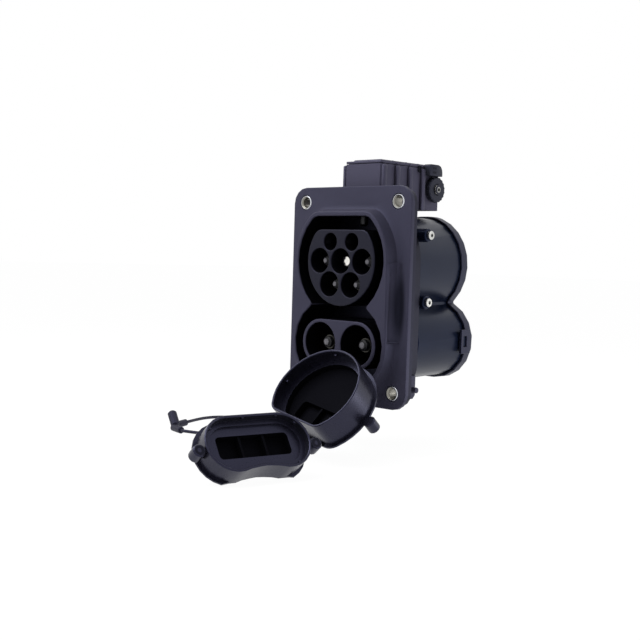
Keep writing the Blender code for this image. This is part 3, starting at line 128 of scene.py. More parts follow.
def moulded(name, base, shade, roughness, grain_mm, grain_depth, tint="#ffffff", spread=0.06, level=0.32):
    """A moulded plastic: two close tones in slow clouds, a fine grain in the bump and in the gloss."""
    material, tree, shader = new_material(name, roughness, ior=1.53)
    place = add(tree, "ShaderNodeTexCoord")
    clouds = add(tree, "ShaderNodeTexNoise", {"Vector": place.outputs["Object"],
                                              "Scale": 1.0 / (CLOUD_MM * MM), "Detail": 3.0})
    tones = add(tree, "ShaderNodeMix", {"Factor": clouds.outputs["Fac"]}, data_type="RGBA")
    tones.inputs["A"].default_value = colour(base)
    tones.inputs["B"].default_value = colour(shade)
    tree.links.new(tones.outputs["Result"], shader.inputs["Base Color"])
    grain = add(tree, "ShaderNodeTexNoise", {"Vector": place.outputs["Object"],
                                             "Scale": 1.0 / (grain_mm * MM), "Detail": 2.0, "Roughness": 0.6})
    gloss = add(tree, "ShaderNodeMapRange", {
        "Value": grain.outputs["Fac"], "From Min": 0.3, "From Max": 0.7, "To Min": roughness - spread,
        "To Max": roughness + spread})
    tree.links.new(gloss.outputs["Result"], shader.inputs["Roughness"])
    bump = add(tree, "ShaderNodeBump", {"Height": grain.outputs["Fac"], "Strength": 0.5,
                                        "Distance": grain_depth * MM})
    tree.links.new(bump.outputs["Normal"], shader.inputs["Normal"])
    shader.inputs["Specular Tint"].default_value = colour(tint)
    shader.inputs["Specular IOR Level"].default_value = level
    return material


COOL = "#c4c6ff"  # tints of the reflections
BLUE = "#a4b8ff"
flange_plastic = moulded("grained_polyamide", "#32313e", "#3a3948", 0.5, 0.6, 0.03, COOL, level=0.22)
# Darker than the grained plastic: painted shade on the AC carrier, behind the flange and inside the DC cap.
darker_shade_plastic = moulded("painted_shade_polyamide", "#16161b", "#1c1c22", 0.42, 0.6, 0.02, COOL, level=0.2)
# Near black: painted shade for the cavity, the sockets, and the holes, slots and recesses drawn as dark
# marks.
near_black_shade = moulded("painted_shade_near_black_polyamide", "#050507", "#08080b", 0.34, 0.6, 0.01, COOL, level=0.16)
rear_plastic = moulded("polished_polyamide", "#0b0f1b", "#111728", 0.3, 1.4, 0.003, BLUE, 0.02, 0.2)
cover_plastic = moulded("satin_polyamide", "#1c1d28", "#242531", 0.4, 0.6, 0.015, COOL)
cap_plastic = moulded("satin_polypropylene", "#14141b", "#1b1a24", 0.32, 0.7, 0.012, COOL, level=0.38)
# Near black and rough: painted shade for the floors and pits of the caps.
cap_shade_plastic = moulded("painted_shade_polypropylene", "#09090c", "#0d0d11", 0.6, 0.6, 0.02, COOL, level=0.02)
lock_plastic = moulded("matte_polyester", "#3d3b49", "#474554", 0.5, 0.6, 0.03, COOL, level=0.3)
disc_plastic = moulded("grey_acetal", "#23242a", "#2a2b32", 0.42, 0.6, 0.02, COOL, level=0.22)
black_plastic = moulded("black_acetal", "#0a0b0e", "#0f1013", 0.42, 0.6, 0.02, COOL, level=0.25)
natural_plastic = moulded("natural_acetal", "#b9b6ac", "#c4c1b8", 0.45, 0.7, 0.015)
guard_plastic = moulded("black_touch_guard", "#1d1d20", "#252529", 0.45, 0.4, 0.015, level=0.2)
tip_plastic = moulded("grey_contact_tip", "#6b6a70", "#77767c", 0.45, 0.4, 0.015, level=0.3)
rubber = moulded("silicone_rubber", "#101013", "#151519", 0.65, 0.5, 0.03)
strap_rubber = moulded("thermoplastic_elastomer", "#1c1b22", "#24232b", 0.5, 0.5, 0.02, COOL)

# %% [markdown]
# The collar's two scoops, which a plug's latch reaches into, lie in shade, and so does the stepped rim
# behind the flange. They belong to the same moulding, so its material is copied and darkened as painted
# shade in a soft oval round each scoop and behind the flange, both measured from the part's own axes.

# %% Collar with painted shade in its scoops
SCOOP_X = 35.4
SCOOP_Z = -52.5
SCOOP_HALF_W = 4.2
SCOOP_HALF_H = 23.0
RIM_Y = 2.5


def paint_collar_shade(material, name, dark):
    """A copy of a moulded material with painted shade, darkened in both scoops of the collar and on the rim.
    """
    copy = material.copy()
    copy.name = name
    tree = copy.node_tree
    shader = tree.nodes["Principled BSDF"]
    tones = shader.inputs["Base Color"].links[0].from_socket
    place = add(tree, "ShaderNodeTexCoord")
    axes = add(tree, "ShaderNodeSeparateXYZ", {"Vector": place.outputs["Object"]})
    side = add(tree, "ShaderNodeMath", {0: axes.outputs["X"]}, operation="ABSOLUTE")
    across = add(tree, "ShaderNodeMapRange", {
        "Value": side.outputs["Value"], "From Min": (SCOOP_X - SCOOP_HALF_W) * MM,
        "From Max": (SCOOP_X + SCOOP_HALF_W) * MM, "To Min": -1.0, "To Max": 1.0}, clamp=False)
    along = add(tree, "ShaderNodeMapRange", {
        "Value": axes.outputs["Z"], "From Min": (SCOOP_Z - SCOOP_HALF_H) * MM,
        "From Max": (SCOOP_Z + SCOOP_HALF_H) * MM, "To Min": -1.0, "To Max": 1.0}, clamp=False)
    spot = add(tree, "ShaderNodeCombineXYZ", {"X": across.outputs["Result"], "Y": along.outputs["Result"]})
    away = add(tree, "ShaderNodeVectorMath", {0: spot.outputs["Vector"]}, operation="LENGTH")
    clear = add(tree, "ShaderNodeMapRange", {
        "Value": away.outputs["Value"], "From Min": 0.35, "From Max": 1.0}, interpolation_type="SMOOTHSTEP")
    ahead = add(tree, "ShaderNodeMapRange", {
        "Value": axes.outputs["Y"], "From Min": RIM_Y * MM, "From Max": (RIM_Y + 0.4) * MM,
        "To Min": 1.0, "To Max": 0.25}, interpolation_type="SMOOTHSTEP")
    plain = add(tree, "ShaderNodeMath", {0: clear.outputs["Result"], 1: ahead.outputs["Result"]},
                operation="MULTIPLY")
    both = add(tree, "ShaderNodeMix", {"Factor": plain.outputs["Value"]}, data_type="RGBA")
    both.inputs["A"].default_value = colour(dark)
    tree.links.new(tones, both.inputs["B"])
    tree.links.new(both.outputs["Result"], shader.inputs["Base Color"])
    return copy


# Painted shade: the grained material turns near black in the collar's scoops and behind the flange.
collar_shade_plastic = paint_collar_shade(flange_plastic, "burnished_polyamide", "#060608")

# %% [markdown]
# ## Metals
# Bushings and contacts are turned, so their gloss carries fine streaks across the part's length. The streaks
# come from a wave along the depth, and the plating has small dull clouds.

# %% Metal recipe
SPECK_MM = 1.1111


def turned_metal(name, base, roughness, ring_mm, ring_depth=0.004):
    """A turned metal: fine streaks in the gloss and a light bump."""
    material, tree, shader = new_material(name, roughness, 1.0)
    shader.inputs["Base Color"].default_value = colour(base)
    place = add(tree, "ShaderNodeTexCoord")
    streaks = add(tree, "ShaderNodeTexWave", {
        "Vector": place.outputs["Object"], "Scale": 0.3 / (ring_mm * MM), "Distortion": 1.5, "Detail": 2.0},
        bands_direction="Y")
    clouds = add(tree, "ShaderNodeTexNoise", {"Vector": place.outputs["Object"],
                                              "Scale": 1.0 / (SPECK_MM * MM), "Detail": 3.0})
    both = add(tree, "ShaderNodeMath", {0: streaks.outputs["Fac"], 1: clouds.outputs["Fac"]},
               operation="MULTIPLY")
    gloss = add(tree, "ShaderNodeMapRange", {"Value": both.outputs["Value"], "To Min": roughness - 0.06,
                                             "To Max": roughness + 0.12})
    tree.links.new(gloss.outputs["Result"], shader.inputs["Roughness"])
    bump = add(tree, "ShaderNodeBump", {"Height": streaks.outputs["Fac"], "Strength": 0.4,
                                        "Distance": ring_depth * MM})
    tree.links.new(bump.outputs["Normal"], shader.inputs["Normal"])
    return material


bushing_metal = turned_metal("turned_stainless_steel", "#d6d8de", 0.26, 0.25)
# Darker and rougher than the rims' steel: the darker colour is painted shade in the bushings' bores.
bore_shade_metal = turned_metal("painted_shade_bore_steel", "#85837c", 0.34, 0.25)
silver_metal = turned_metal("silver_plated_copper", "#e6e4de", 0.22, 0.3)
# A darker, duller silver than the other contacts, given to the line, neutral and DC contacts.
dulled_metal = turned_metal("darker_silver_plate", "#4a4946", 0.36, 0.3)
screw_metal = turned_metal("zinc_plated_steel", "#c9c9c6", 0.3, 0.3)
bolt_metal = turned_metal("blackened_steel", "#3a3a3c", 0.4, 0.3)
gear_metal = turned_metal("cut_steel", "#9a9a98", 0.35, 0.3)

# %% [markdown]
# ## Softened shells
# A moulded edge is never sharp: the tool's radius catches a thin line of light. Each visible shell is a copy
# of its CAD node with its triangles merged into flat faces and its sharp edges bevelled by that radius.

# %% Shells with softened edges
JOIN_GAP = 0.002 * MM
FLAT_TO = math.radians(0.6)
BEVEL_FROM = math.radians(32)
SHARP_FROM = math.radians(35)


def finish_piece(piece, body, material, slot, *nodes):
    piece.data.materials.clear()
    piece.data.materials.append(material)
    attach(piece, body)
    if nodes:
        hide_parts(*nodes)
    return piece


def bake(piece):
    """Turns a piece and its modifiers into a plain mesh."""
    seen = piece.evaluated_get(bpy.context.evaluated_depsgraph_get())
    baked = bpy.data.meshes.new_from_object(seen)
    piece.modifiers.clear()
    piece.data = baked


def merged_copy(node):
    """The node's mesh with its loose triangles joined and its flat faces whole."""
    bm = bmesh.new()
    bm.from_mesh(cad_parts[node].data)
    bmesh.ops.remove_doubles(bm, verts=bm.verts, dist=JOIN_GAP)
    bmesh.ops.dissolve_limit(bm, angle_limit=FLAT_TO, verts=bm.verts, edges=bm.edges)
    return bm


def soften(node, body, material, slot, radius_mm):
    """A shell in place of the node, its sharp edges bevelled and its shading levelled on flat faces."""
    bm = merged_copy(node)
    edges = [e for e in bm.edges if len(e.link_faces) == 2 and e.calc_face_angle(0.0) > BEVEL_FROM]
    bmesh.ops.bevel(bm, geom=edges, offset=radius_mm * MM, segments=2, profile=0.5, affect="EDGES",
                    clamp_overlap=True)
    bmesh.ops.triangulate(bm, faces=[f for f in bm.faces if len(f.verts) > 4])
    mesh = bpy.data.meshes.new(node + "_shell")
    bm.to_mesh(mesh)
    bm.free()
    mesh.shade_smooth()
    mesh.set_sharp_from_angle(angle=SHARP_FROM)
    shell = bpy.data.objects.new(node + "_shell", mesh)
    scene.collection.objects.link(shell)
    level_faces = shell.modifiers.new("level_faces", "WEIGHTED_NORMAL")
    level_faces.keep_sharp = True
    bake(shell)
    return finish_piece(shell, body, material, slot, node)


ROOT = "inlet"
shells = {}
for node, material, slot, radius in (
        ("front_housing", collar_shade_plastic, "housing_plastic", 0.42),
        # The AC carrier gets the darker material as painted shade deep in the cavity.
        ("ac_contact_carrier", darker_shade_plastic, "housing_plastic", 0.25),
        ("dc_contact_carrier", flange_plastic, "housing_plastic", 0.25),
        ("rear_housing", rear_plastic, "rear_plastic", 0.3),
        ("rear_cover", cover_plastic, "rear_plastic", 0.3),
        ("lock_housing", lock_plastic, "actuator_plastic", 0.3),
        ("lock_lid", lock_plastic, "actuator_plastic", 0.3),
        ("ac_cap", cap_plastic, "cap_plastic", 0.25),
        ("dc_cap", cap_plastic, "cap_plastic", 0.25)):
    shells[node] = soften(node, ROOT, material, slot, radius)
    print(shells[node].name, len(shells[node].data.polygons), "faces")

# %% [markdown]
# The inside of the socket is smooth, so that a plug slides in, and lies in deep shade. That shade is painted:
# the faces inside the cavity and behind the two socket faces get a near-black second material, and what lies
# behind the flange gets a darker material than its grained front, which is painted shade as well.

# %% Cavity in painted shade
AC_Z = -30.7
DC_Z = -73.6
AC_REACH = 30.0
AC_TOP = 23.6
DC_REACH = 22.6
DC_HALF_SPAN = 8.0
CAVITY_FRONT = -6.85
CAVITY_BACK = 18.3
BEHIND_FACE = -6.2
BEHIND_FLANGE = 6.9


def coat(mesh, material, test):
    """Gives the faces that pass the test a further material; it gets a face's middle in mm and its normal."""
    mesh.materials.append(material)
    chosen = [p for p in mesh.polygons if test(p.center / MM, p.normal)]
    for polygon in chosen:
        polygon.material_index = len(mesh.materials) - 1
    print(mesh.name, len(chosen), "faces in", material.name)


def inside_cavity(spot, normal):
    """Whether a face lies on the wall or floor of the cavity."""
    x, y, z = spot
    in_ac = math.hypot(x, z - AC_Z) < AC_REACH and z < AC_Z + AC_TOP
    in_dc = math.hypot(max(abs(x) - DC_HALF_SPAN, 0.0), z - DC_Z) < DC_REACH
    return CAVITY_FRONT < y < CAVITY_BACK and (in_ac or in_dc)


def behind_face(spot, normal):
    return spot.y > BEHIND_FACE


def behind_flange(spot, normal):
    return spot.y > BEHIND_FLANGE and not inside_cavity(spot, normal)


# Painted shade: near black on the cavity's walls and floor.
coat(shells["front_housing"].data, near_black_shade, inside_cavity)
# Painted shade: the darker material on the faces behind the flange.
coat(shells["front_housing"].data, darker_shade_plastic, behind_flange)
# Painted shade: near black on the carriers' faces inside the sockets.
coat(shells["ac_contact_carrier"].data, near_black_shade, behind_face)
coat(shells["dc_contact_carrier"].data, near_black_shade, behind_face)

# %% [markdown]
# Small turned and moulded parts keep their CAD mesh, which is already round enough, and only get their
# finish. The bores of the four bushings are rougher and darker than their rims: the darker colour is painted
# shade in the holes.

# %% Finishes of the plain nodes
FINISHES = {
    "mounting_bushing": bushing_metal, "contact_dc_": dulled_metal, "contact_line_": dulled_metal,
    "contact_neutral": dulled_metal, "contact_": silver_metal, "cover_screw": screw_metal,
    "lock_screw": screw_metal, "release_screw": screw_metal, "release_disc": disc_plastic,
    "release_shaft": gear_metal, "motor_worm": gear_metal, "lock_bolt": bolt_metal,
    "lock_motor": gear_metal, "mechanism_frame": natural_plastic, "front_pinion": natural_plastic,
    "rack_bar": natural_plastic, "ac_contact_retainer": natural_plastic,
    "dc_contact_retainer": natural_plastic, "sensor_": black_plastic, "housing_seal": rubber,
    "ac_cable_gland": rubber, "dc_cable_gland": rubber, "strap_anchor": strap_rubber,
}
for name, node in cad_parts.items():
    start = next((start for start in FINISHES if name.startswith(start)), None)
    if start:
        node.data.materials.clear()
        node.data.materials.append(guard_plastic if name.endswith("_touch_guard") else FINISHES[start])
BORE_INWARD = 1.7
# Painted shade: the faces inside each bushing's bore get the darker steel.
for name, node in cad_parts.items():
    if name.startswith("mounting_bushing"):
        middle = sum((v.co for v in node.data.vertices), Vector()) / len(node.data.vertices) / MM
        coat(node.data, bore_shade_metal, lambda spot, normal: (
            (spot.x - middle.x) * normal.x + (spot.z - middle.z) * normal.z < -BORE_INWARD))

# %% [markdown]
# ## Straps
# Each cap hangs on a thin moulded strap. Both leave one anchor on the left, lie low behind the caps and end
# at the back of a cap's ear. The points are those of the CAD route, so the strap lies where its solid lies.
# The AC cap's floor and the DC cap's pits are darker and rougher than the rest, and the DC cap's inner wall
# is darker too: painted shade in the caps' hollows.

# %% Straps
STRAP_R = 0.85
STRAP_LIE = -125.6 + STRAP_R + 0.35
CORD_SEAT = 0.005
SLEEVES = (((-82.0, -46.8, -123.2), (-84.2, -36.6, -122.6)),
           ((-80.8, -48.2, -123.9), (-71.4, -50.2, -124.0)))
STRAP_STEP = 2.1


def cap_pose(place, turn, tilt, spin):
    return (Matrix.Translation(place) @ Matrix.Rotation(math.radians(turn), 4, "Z")
            @ Matrix.Rotation(math.radians(tilt), 4, "X") @ Matrix.Rotation(math.radians(spin), 4, "Y"))


AC_CAP_POSE = cap_pose((13.38, -36.64, -93.39), 2.4, 138.85, -11.8)
DC_CAP_POSE = cap_pose((30.03, -89.14, -110.71), 76.4, 142.8, 0.2)
AC_EAR = (-28.6, -1.0, -20.5)
DC_EAR = (29.6, 3.4, -7.0)

AC_FLOOR_Y = (-15.5, -8.1)
AC_FLOOR_R = 22.0
DC_PIT_Y = (-10.5, -5.7)
DC_PIT_HALF_W = 18.6
DC_PIT_Z = (-5.5, 5.7)
DC_WALL_Y = (-4.1, -0.5)
DC_WALL_MIDDLE = 12.9
ac_home, dc_home = AC_CAP_POSE.inverted(), DC_CAP_POSE.inverted()


def ac_cap_floor(spot, normal):
    x, y, z = ac_home @ spot
    return AC_FLOOR_Y[0] < y < AC_FLOOR_Y[1] and math.hypot(x, z) < AC_FLOOR_R


def dc_cap_pits(spot, normal):
    x, y, z = dc_home @ spot
    return DC_PIT_Y[0] < y < DC_PIT_Y[1] and abs(x) < DC_PIT_HALF_W and DC_PIT_Z[0] < z < DC_PIT_Z[1]


def dc_cap_inner_wall(spot, normal):
    x, y, z = dc_home @ spot
    facing = dc_home.to_3x3() @ normal
    outward = facing.z * z + facing.x * math.copysign(max(abs(x) - DC_WALL_MIDDLE, 0.0), x)
    return DC_WALL_Y[0] < y < DC_WALL_Y[1] and outward < 0.0


# Painted shade: the caps' floor and pits get the near-black material, the DC cap's inner wall the darker one.
coat(shells["ac_cap"].data, cap_shade_plastic, ac_cap_floor)
coat(shells["dc_cap"].data, cap_shade_plastic, dc_cap_pits)
coat(shells["dc_cap"].data, darker_shade_plastic, dc_cap_inner_wall)


def smooth_route(points, spacing):
    """Evenly spaced points on a smooth curve through the given ones, with a straight first and last step."""
    fine = []
    for a, b, c, d in zip(points, points[1:], points[2:], points[3:]):
        for i in range(20):
            t = i / 20
            fine.append(0.5 * (2 * b + (c - a) * t + (2 * a - 5 * b + 4 * c - d) * t ** 2
                               + (3 * b - a - 3 * c + d) * t ** 3))
    fine.append(points[-2])
    length = sum((b - a).length for a, b in zip(fine, fine[1:]))
    count = round(length / spacing)
    route = [points[0], fine[0]]
    run = 0.0
    for a, b in zip(fine, fine[1:]):
        run += (b - a).length
        if run >= length * (len(route) - 1) / count and len(route) <= count:
            route.append(b)
    return [*route, points[-2], points[-1]]


def strap(name, middle, pose, ear, sleeve):
    """A round strap from its sleeve to the back of its cap's ear; returns the piece and its route."""
    start, end = Vector(sleeve[0]), Vector(sleeve[1])
    out = (end - start).normalized()
    x, z, back = ear
    seats = [end + out * w for w in (CORD_SEAT, 2.0)]
    ears = [pose @ Vector((x, back - w, z)) for w in (2.0, CORD_SEAT)]
    points = [*seats, *[Vector(p) for p in middle], *ears]
    route = [p * MM for p in smooth_route(points, STRAP_STEP)]
    curve = bpy.data.curves.new(name, "CURVE")
    curve.dimensions = "3D"
    curve.bevel_depth = STRAP_R * MM
    curve.bevel_resolution = 5
    curve.use_fill_caps = True
    spline = curve.splines.new("POLY")
    spline.points.add(len(route) - 1)
    for slot, point in zip(spline.points, route):
        slot.co = (*point, 1.0)
    piece = bpy.data.objects.new(name, curve)
    scene.collection.objects.link(piece)
    return piece, route


ac_strap, ac_route = strap(
    "ac_strap", [(-89.9, -17.9, -122.6), (-90.4, -3.1, -123.4), (-82, 8, STRAP_LIE),
                 (-62, 9, STRAP_LIE), (-42, 5, STRAP_LIE), (-27, -1, -123.6), (-17.5, -7.5, -116.5)],
    AC_CAP_POSE, AC_EAR, SLEEVES[0])
dc_strap, dc_route = strap(
    "dc_strap", [(-60.5, -46.6, STRAP_LIE), (-44, -43, STRAP_LIE), (-22, -47, STRAP_LIE),
                 (0, -53, STRAP_LIE), (17, -56.5, -124.1), (27.2, -58.2, -122.3)],
    DC_CAP_POSE, DC_EAR, SLEEVES[1])
for piece, route, node in ((ac_strap, ac_route, "ac_cap_strap"), (dc_strap, dc_route, "dc_cap_strap")):
    finish_piece(piece, ROOT, strap_rubber, "strap_rubber", node)

# %% [markdown]
# ## Repeated details
# Nubs that snap a cap on, screw recesses, stiffening ribs and grip ridges are all one small shape set out
# many times. Geometry Nodes do that well: the shape is modelled once, a tree lays it out along a row, round a
# ring or on chosen points, and its inputs stay readable as sizes. Each result then becomes a plain mesh.

# %% Geometry Nodes trees


def layout_tree(name, sizes):
    """An empty tree with the given inputs, a material input and a geometry output."""
    tree = bpy.data.node_groups.new(name, "GeometryNodeTree")
    tree.interface.new_socket("Geometry", in_out="INPUT", socket_type="NodeSocketGeometry")
    for label, kind in (*sizes, ("Material", "NodeSocketMaterial")):
        tree.interface.new_socket(label, in_out="INPUT", socket_type=kind)
    tree.interface.new_socket("Geometry", in_out="OUTPUT", socket_type="NodeSocketGeometry")
    return tree, add(tree, "NodeGroupInput").outputs


def close_tree(tree, sizes, points, unit, **turned):
    """Sets the unit on the points, makes the copies real and gives them their material."""
    copies = add(tree, "GeometryNodeInstanceOnPoints", {"Points": points, "Instance": unit, **turned})
    real = add(tree, "GeometryNodeRealizeInstances", {"Geometry": copies.outputs["Instances"]})
    coated = add(tree, "GeometryNodeSetMaterial", {"Geometry": real.outputs["Geometry"],
                                                   "Material": sizes["Material"]})
    add(tree, "NodeGroupOutput", {"Geometry": coated.outputs["Geometry"]})
    return tree


def row_tree():
    tree, sizes = layout_tree("units_in_a_row",
                              (("Count", "NodeSocketInt"), ("Step", "NodeSocketVector")))
    line = add(tree, "GeometryNodeMeshLine", {"Count": sizes["Count"], "Offset": sizes["Step"]})
    return close_tree(tree, sizes, line.outputs["Mesh"], sizes["Geometry"])


def ring_tree():
    tree, sizes = layout_tree("units_round_a_ring",
                              (("Count", "NodeSocketInt"), ("Radius", "NodeSocketFloat")))
    ring = add(tree, "GeometryNodeMeshCircle", {"Vertices": sizes["Count"], "Radius": sizes["Radius"]})
    share = add(tree, "ShaderNodeMath", {0: math.tau, 1: sizes["Count"]}, operation="DIVIDE")
    number = add(tree, "GeometryNodeInputIndex")
    angle = add(tree, "ShaderNodeMath", {0: number.outputs["Index"], 1: share.outputs["Value"]},
                operation="MULTIPLY")
    turn = add(tree, "ShaderNodeCombineXYZ", {"Z": angle.outputs["Value"]})
    return close_tree(tree, sizes, ring.outputs["Mesh"], sizes["Geometry"],
                      Rotation=turn.outputs["Vector"])


def points_tree():
    tree, sizes = layout_tree("units_on_points", (("Unit", "NodeSocketObject"),))
    unit = add(tree, "GeometryNodeObjectInfo", {"Object": sizes["Unit"]})
    return close_tree(tree, sizes, sizes["Geometry"], unit.outputs["Geometry"])


ROW, RING, ON_POINTS = row_tree(), ring_tree(), points_tree()
print("trees:", [tree.name for tree in (ROW, RING, ON_POINTS)])

# %% [markdown]
# Units are small solids of a few dozen faces. One helper makes a block with softened edges, another a round
# boss, and a third runs a tree on them and bakes the result into the place it belongs to.

# %% Units and baking


def block(size, centre=(0, 0, 0), soft=0.0):
    """A block in millimetres, its edges bevelled by soft."""
    bm = bmesh.new()
    place = Matrix.Translation(Vector(centre) * MM) @ Matrix.Diagonal((*(Vector(size) * MM), 1.0))
    bmesh.ops.create_cube(bm, size=1.0, matrix=place)
    if soft:
        bmesh.ops.bevel(bm, geom=bm.edges[:], offset=soft * MM, segments=2, profile=0.5,
                        affect="EDGES")
    return bm


def boss(r, height, steps=16, soft=0.0):
    """A round boss that stands on the XY plane."""
    bm = bmesh.new()
    bmesh.ops.create_cone(bm, cap_ends=True, segments=steps, radius1=r * MM, radius2=r * MM,
                          depth=height * MM, matrix=Matrix.Translation((0, 0, height / 2 * MM)))
    if soft:
        rim = [e for e in bm.edges if all(v.co.z > height * 0.99 * MM for v in e.verts)]
        bmesh.ops.bevel(bm, geom=rim, offset=soft * MM, segments=2, profile=0.5, affect="EDGES")
    return bm


def loose_object(name, bm):
    mesh = bpy.data.meshes.new(name)
    bm.to_mesh(mesh)
    bm.free()
    piece = bpy.data.objects.new(name, mesh)
    scene.collection.objects.link(piece)
    return piece


def lay_out(name, tree, bm, sizes, material, slot, place, body=ROOT):
    """Runs a layout tree on the unit, bakes it and moves the result to its place, all in millimetres."""
    piece = loose_object(name, bm)
    modifier = piece.modifiers.new("layout", "NODES")
    modifier.node_group = tree
    for item in tree.interface.items_tree:
        if item.in_out == "INPUT" and item.name in sizes:
            modifier[item.identifier] = sizes[item.name]
        elif item.in_out == "INPUT" and item.name == "Material":
            modifier[item.identifier] = material
    bake(piece)
    return settle(piece, material, slot, place, body)


def settle(piece, material, slot, place, body=ROOT):
    """Moves the mesh itself to its place and finishes the piece."""
    move = place.copy()
    move.translation *= MM
    piece.data.transform(move)
    piece.data.shade_smooth()
    piece.data.set_sharp_from_angle(angle=SHARP_FROM)
    finish_piece(piece, body, material, slot)
    print(piece.name, len(piece.data.polygons), "faces")
    return piece


def at(x, y, z, turn=0, axis="Z"):
    return Matrix.Translation((x, y, z)) @ Matrix.Rotation(math.radians(turn), 4, axis)


# %% [markdown]
# The actuator's side walls are stiffened by rounded pillars between recessed panels. They run from the flange
# up to the lid, so a row of one soft-edged post gives each side.

# %% Actuator pillars
PILLAR_STEP = (0.0, 10.7 * MM, 0.0)
PILLAR_SIZE = (1.9, 3.2, 22.4)
for side, x in (("right", 14.7), ("left", -11.9)):
    lay_out("actuator_pillars_" + side, ROW, block(PILLAR_SIZE, soft=0.85),
            {"Count": 4, "Step": PILLAR_STEP}, lock_plastic, "actuator_plastic", at(x, 9.2, 8.6))

# %% [markdown]
# Screw heads have a six-lobed recess, which lies in shade. Seen from outside it is a small dark flower, so
# six short bosses in near black, set in a ring so tight that they join, sit just proud of each head as
# painted shade.

# %% Screw recesses
SCREW_HEAD_X = 36.08
SCREW_Y = 23.2
SCREW_HIGH_Z = -16.2
SCREW_LOW_Z = -50.7
RELEASE_Y = 51.0
RELEASE_Z = 9.2
number = 0
for z in (SCREW_HIGH_Z, SCREW_LOW_Z):
    for side in (1, -1):
        number += 1
        lay_out(f"cover_screw_recess_{number}", RING, boss(0.32, 0.05, 8),
                {"Count": 6, "Radius": 0.36 * MM}, near_black_shade, "screw_steel",
                at(side * SCREW_HEAD_X, SCREW_Y, z, side * 90, "Y"))
lay_out("release_screw_recess", RING, boss(0.55, 0.05, 8), {"Count": 6, "Radius": 0.6 * MM},
        near_black_shade, "screw_steel", at(18.28, RELEASE_Y, RELEASE_Z, 90, "Y"), "release")
lay_out("release_grip", RING, block((0.9, 1.1, 2.0), soft=0.3), {"Count": 18, "Radius": 6.45 * MM},
        disc_plastic, "actuator_plastic", at(16.1, RELEASE_Y, RELEASE_Z, 90, "Y"), "release")

# %% [markdown]
# Behind the flange short ribs tie the plate's rim to the base, so that the thin plate stays flat under its
# screws.

# %% Flange ribs
RIB_STEP = (0, 0, -13.5 * MM)
for side, x in (("right", 36.0), ("left", -36.0)):
    lay_out("flange_ribs_" + side, ROW, block((6.6, 3.4, 1.2), soft=0.3), {"Count": 5, "Step": RIB_STEP},
            flange_plastic, "housing_plastic", at(x, 4.0, -21.5))

# %% [markdown]
# A fine seam crosses the collar's flank at each end of a scoop, where two slides of the mould met.

# %% Collar seams


def prism(low, high):
    """A closed solid between two outlines of as many points, in millimetres."""
    bm = bmesh.new()
    near = [bm.verts.new(Vector(point) * MM) for point in low]
    far = [bm.verts.new(Vector(point) * MM) for point in high]
    bm.faces.new(far)
    bm.faces.new(list(reversed(near)))
    for i, start in enumerate(near):
        after = (i + 1) % len(near)
        bm.faces.new((start, near[after], far[after], far[i]))
    bmesh.ops.recalc_face_normals(bm, faces=bm.faces)
    return bm


SEAM_OUTLINE = ((31.5, -7.28), (32.1, -7.28), (36.0, -0.06), (35.2, -0.06))
SEAM_HALF = 0.16
SEAM_STEP = (0, 0, -39.2 * MM)
for side, mirror in (("right", 1.0), ("left", -1.0)):
    strip = prism([(mirror * x, y, -SEAM_HALF) for x, y in SEAM_OUTLINE],
                  [(mirror * x, y, SEAM_HALF) for x, y in SEAM_OUTLINE])
    lay_out("collar_seams_" + side, ROW, strip, {"Count": 2, "Step": SEAM_STEP}, flange_plastic,
            "housing_plastic", at(0, 0, -31.2))

# %% [markdown]
# Small nubs inside the caps snap over the socket's lip. They stand where the photograph shows their glints,
# so the unit is set on chosen points in the cap's own frame. The DC cap's ears carry a thin near-black ring
# round the strap's eye, which is painted shade, and a ring of the same shape, in grey plastic, lies round the
# release screw.

# %% Cap nubs and ear rings
NUB_R = 23.1
AC_NUBS = [(NUB_R * math.cos(math.radians(a)), -3.0, NUB_R * math.sin(math.radians(a)))
           for a in (32, 178, 254, 320)]
DC_NUBS = [(-4.3, -1.6, -12.4), (12.9, -1.6, -12.4), (21.9, -1.6, -8.0), (17.8, -1.6, 12.1),
           (-21.9, -1.6, -8.0), (-17.8, -1.6, 12.1)]
RING_EARS = [(29.6, -0.98, 3.4), (-29.6, -0.98, 2.2)]


def annulus(inner, outer, height, steps=20):
    """A flat ring round the Y axis, closed all round."""
    bm = bmesh.new()
    loops = []
    for r, y in ((inner, 0.0), (outer, 0.0), (outer, height), (inner, height)):
        loops.append([bm.verts.new((r * MM * math.cos(math.tau * i / steps), y * MM,
                                    r * MM * math.sin(math.tau * i / steps))) for i in range(steps)])
    for one, two in zip(loops, loops[1:] + loops[:1]):
        for i in range(steps):
            bm.faces.new((one[i], one[(i + 1) % steps], two[(i + 1) % steps], two[i]))
    bmesh.ops.recalc_face_normals(bm, faces=bm.faces)
    return bm


def on_points(name, unit_bm, points, material, slot, place, body=ROOT):
    """One unit on every point of a list."""
    unit = loose_object(name + "_unit", unit_bm)
    spots = bmesh.new()
    for point in points:
        spots.verts.new(Vector(point) * MM)
    piece = lay_out(name, ON_POINTS, spots, {"Unit": unit}, material, slot, place, body)
    bpy.data.objects.remove(unit)
    return piece


on_points("release_screw_collar", annulus(1.45, 2.75, 0.22, 24), [(0.0, 0.0, 0.0)], disc_plastic,
          "actuator_plastic", at(18.16, RELEASE_Y, RELEASE_Z, -90, "Z"), "release")
on_points("ac_cap_nubs", block((1.5, 1.6, 1.5), soft=0.45), AC_NUBS, cap_plastic, "cap_plastic",
          AC_CAP_POSE)
on_points("dc_cap_nubs", block((1.5, 1.4, 1.5), soft=0.45), DC_NUBS, cap_plastic, "cap_plastic",
          DC_CAP_POSE)
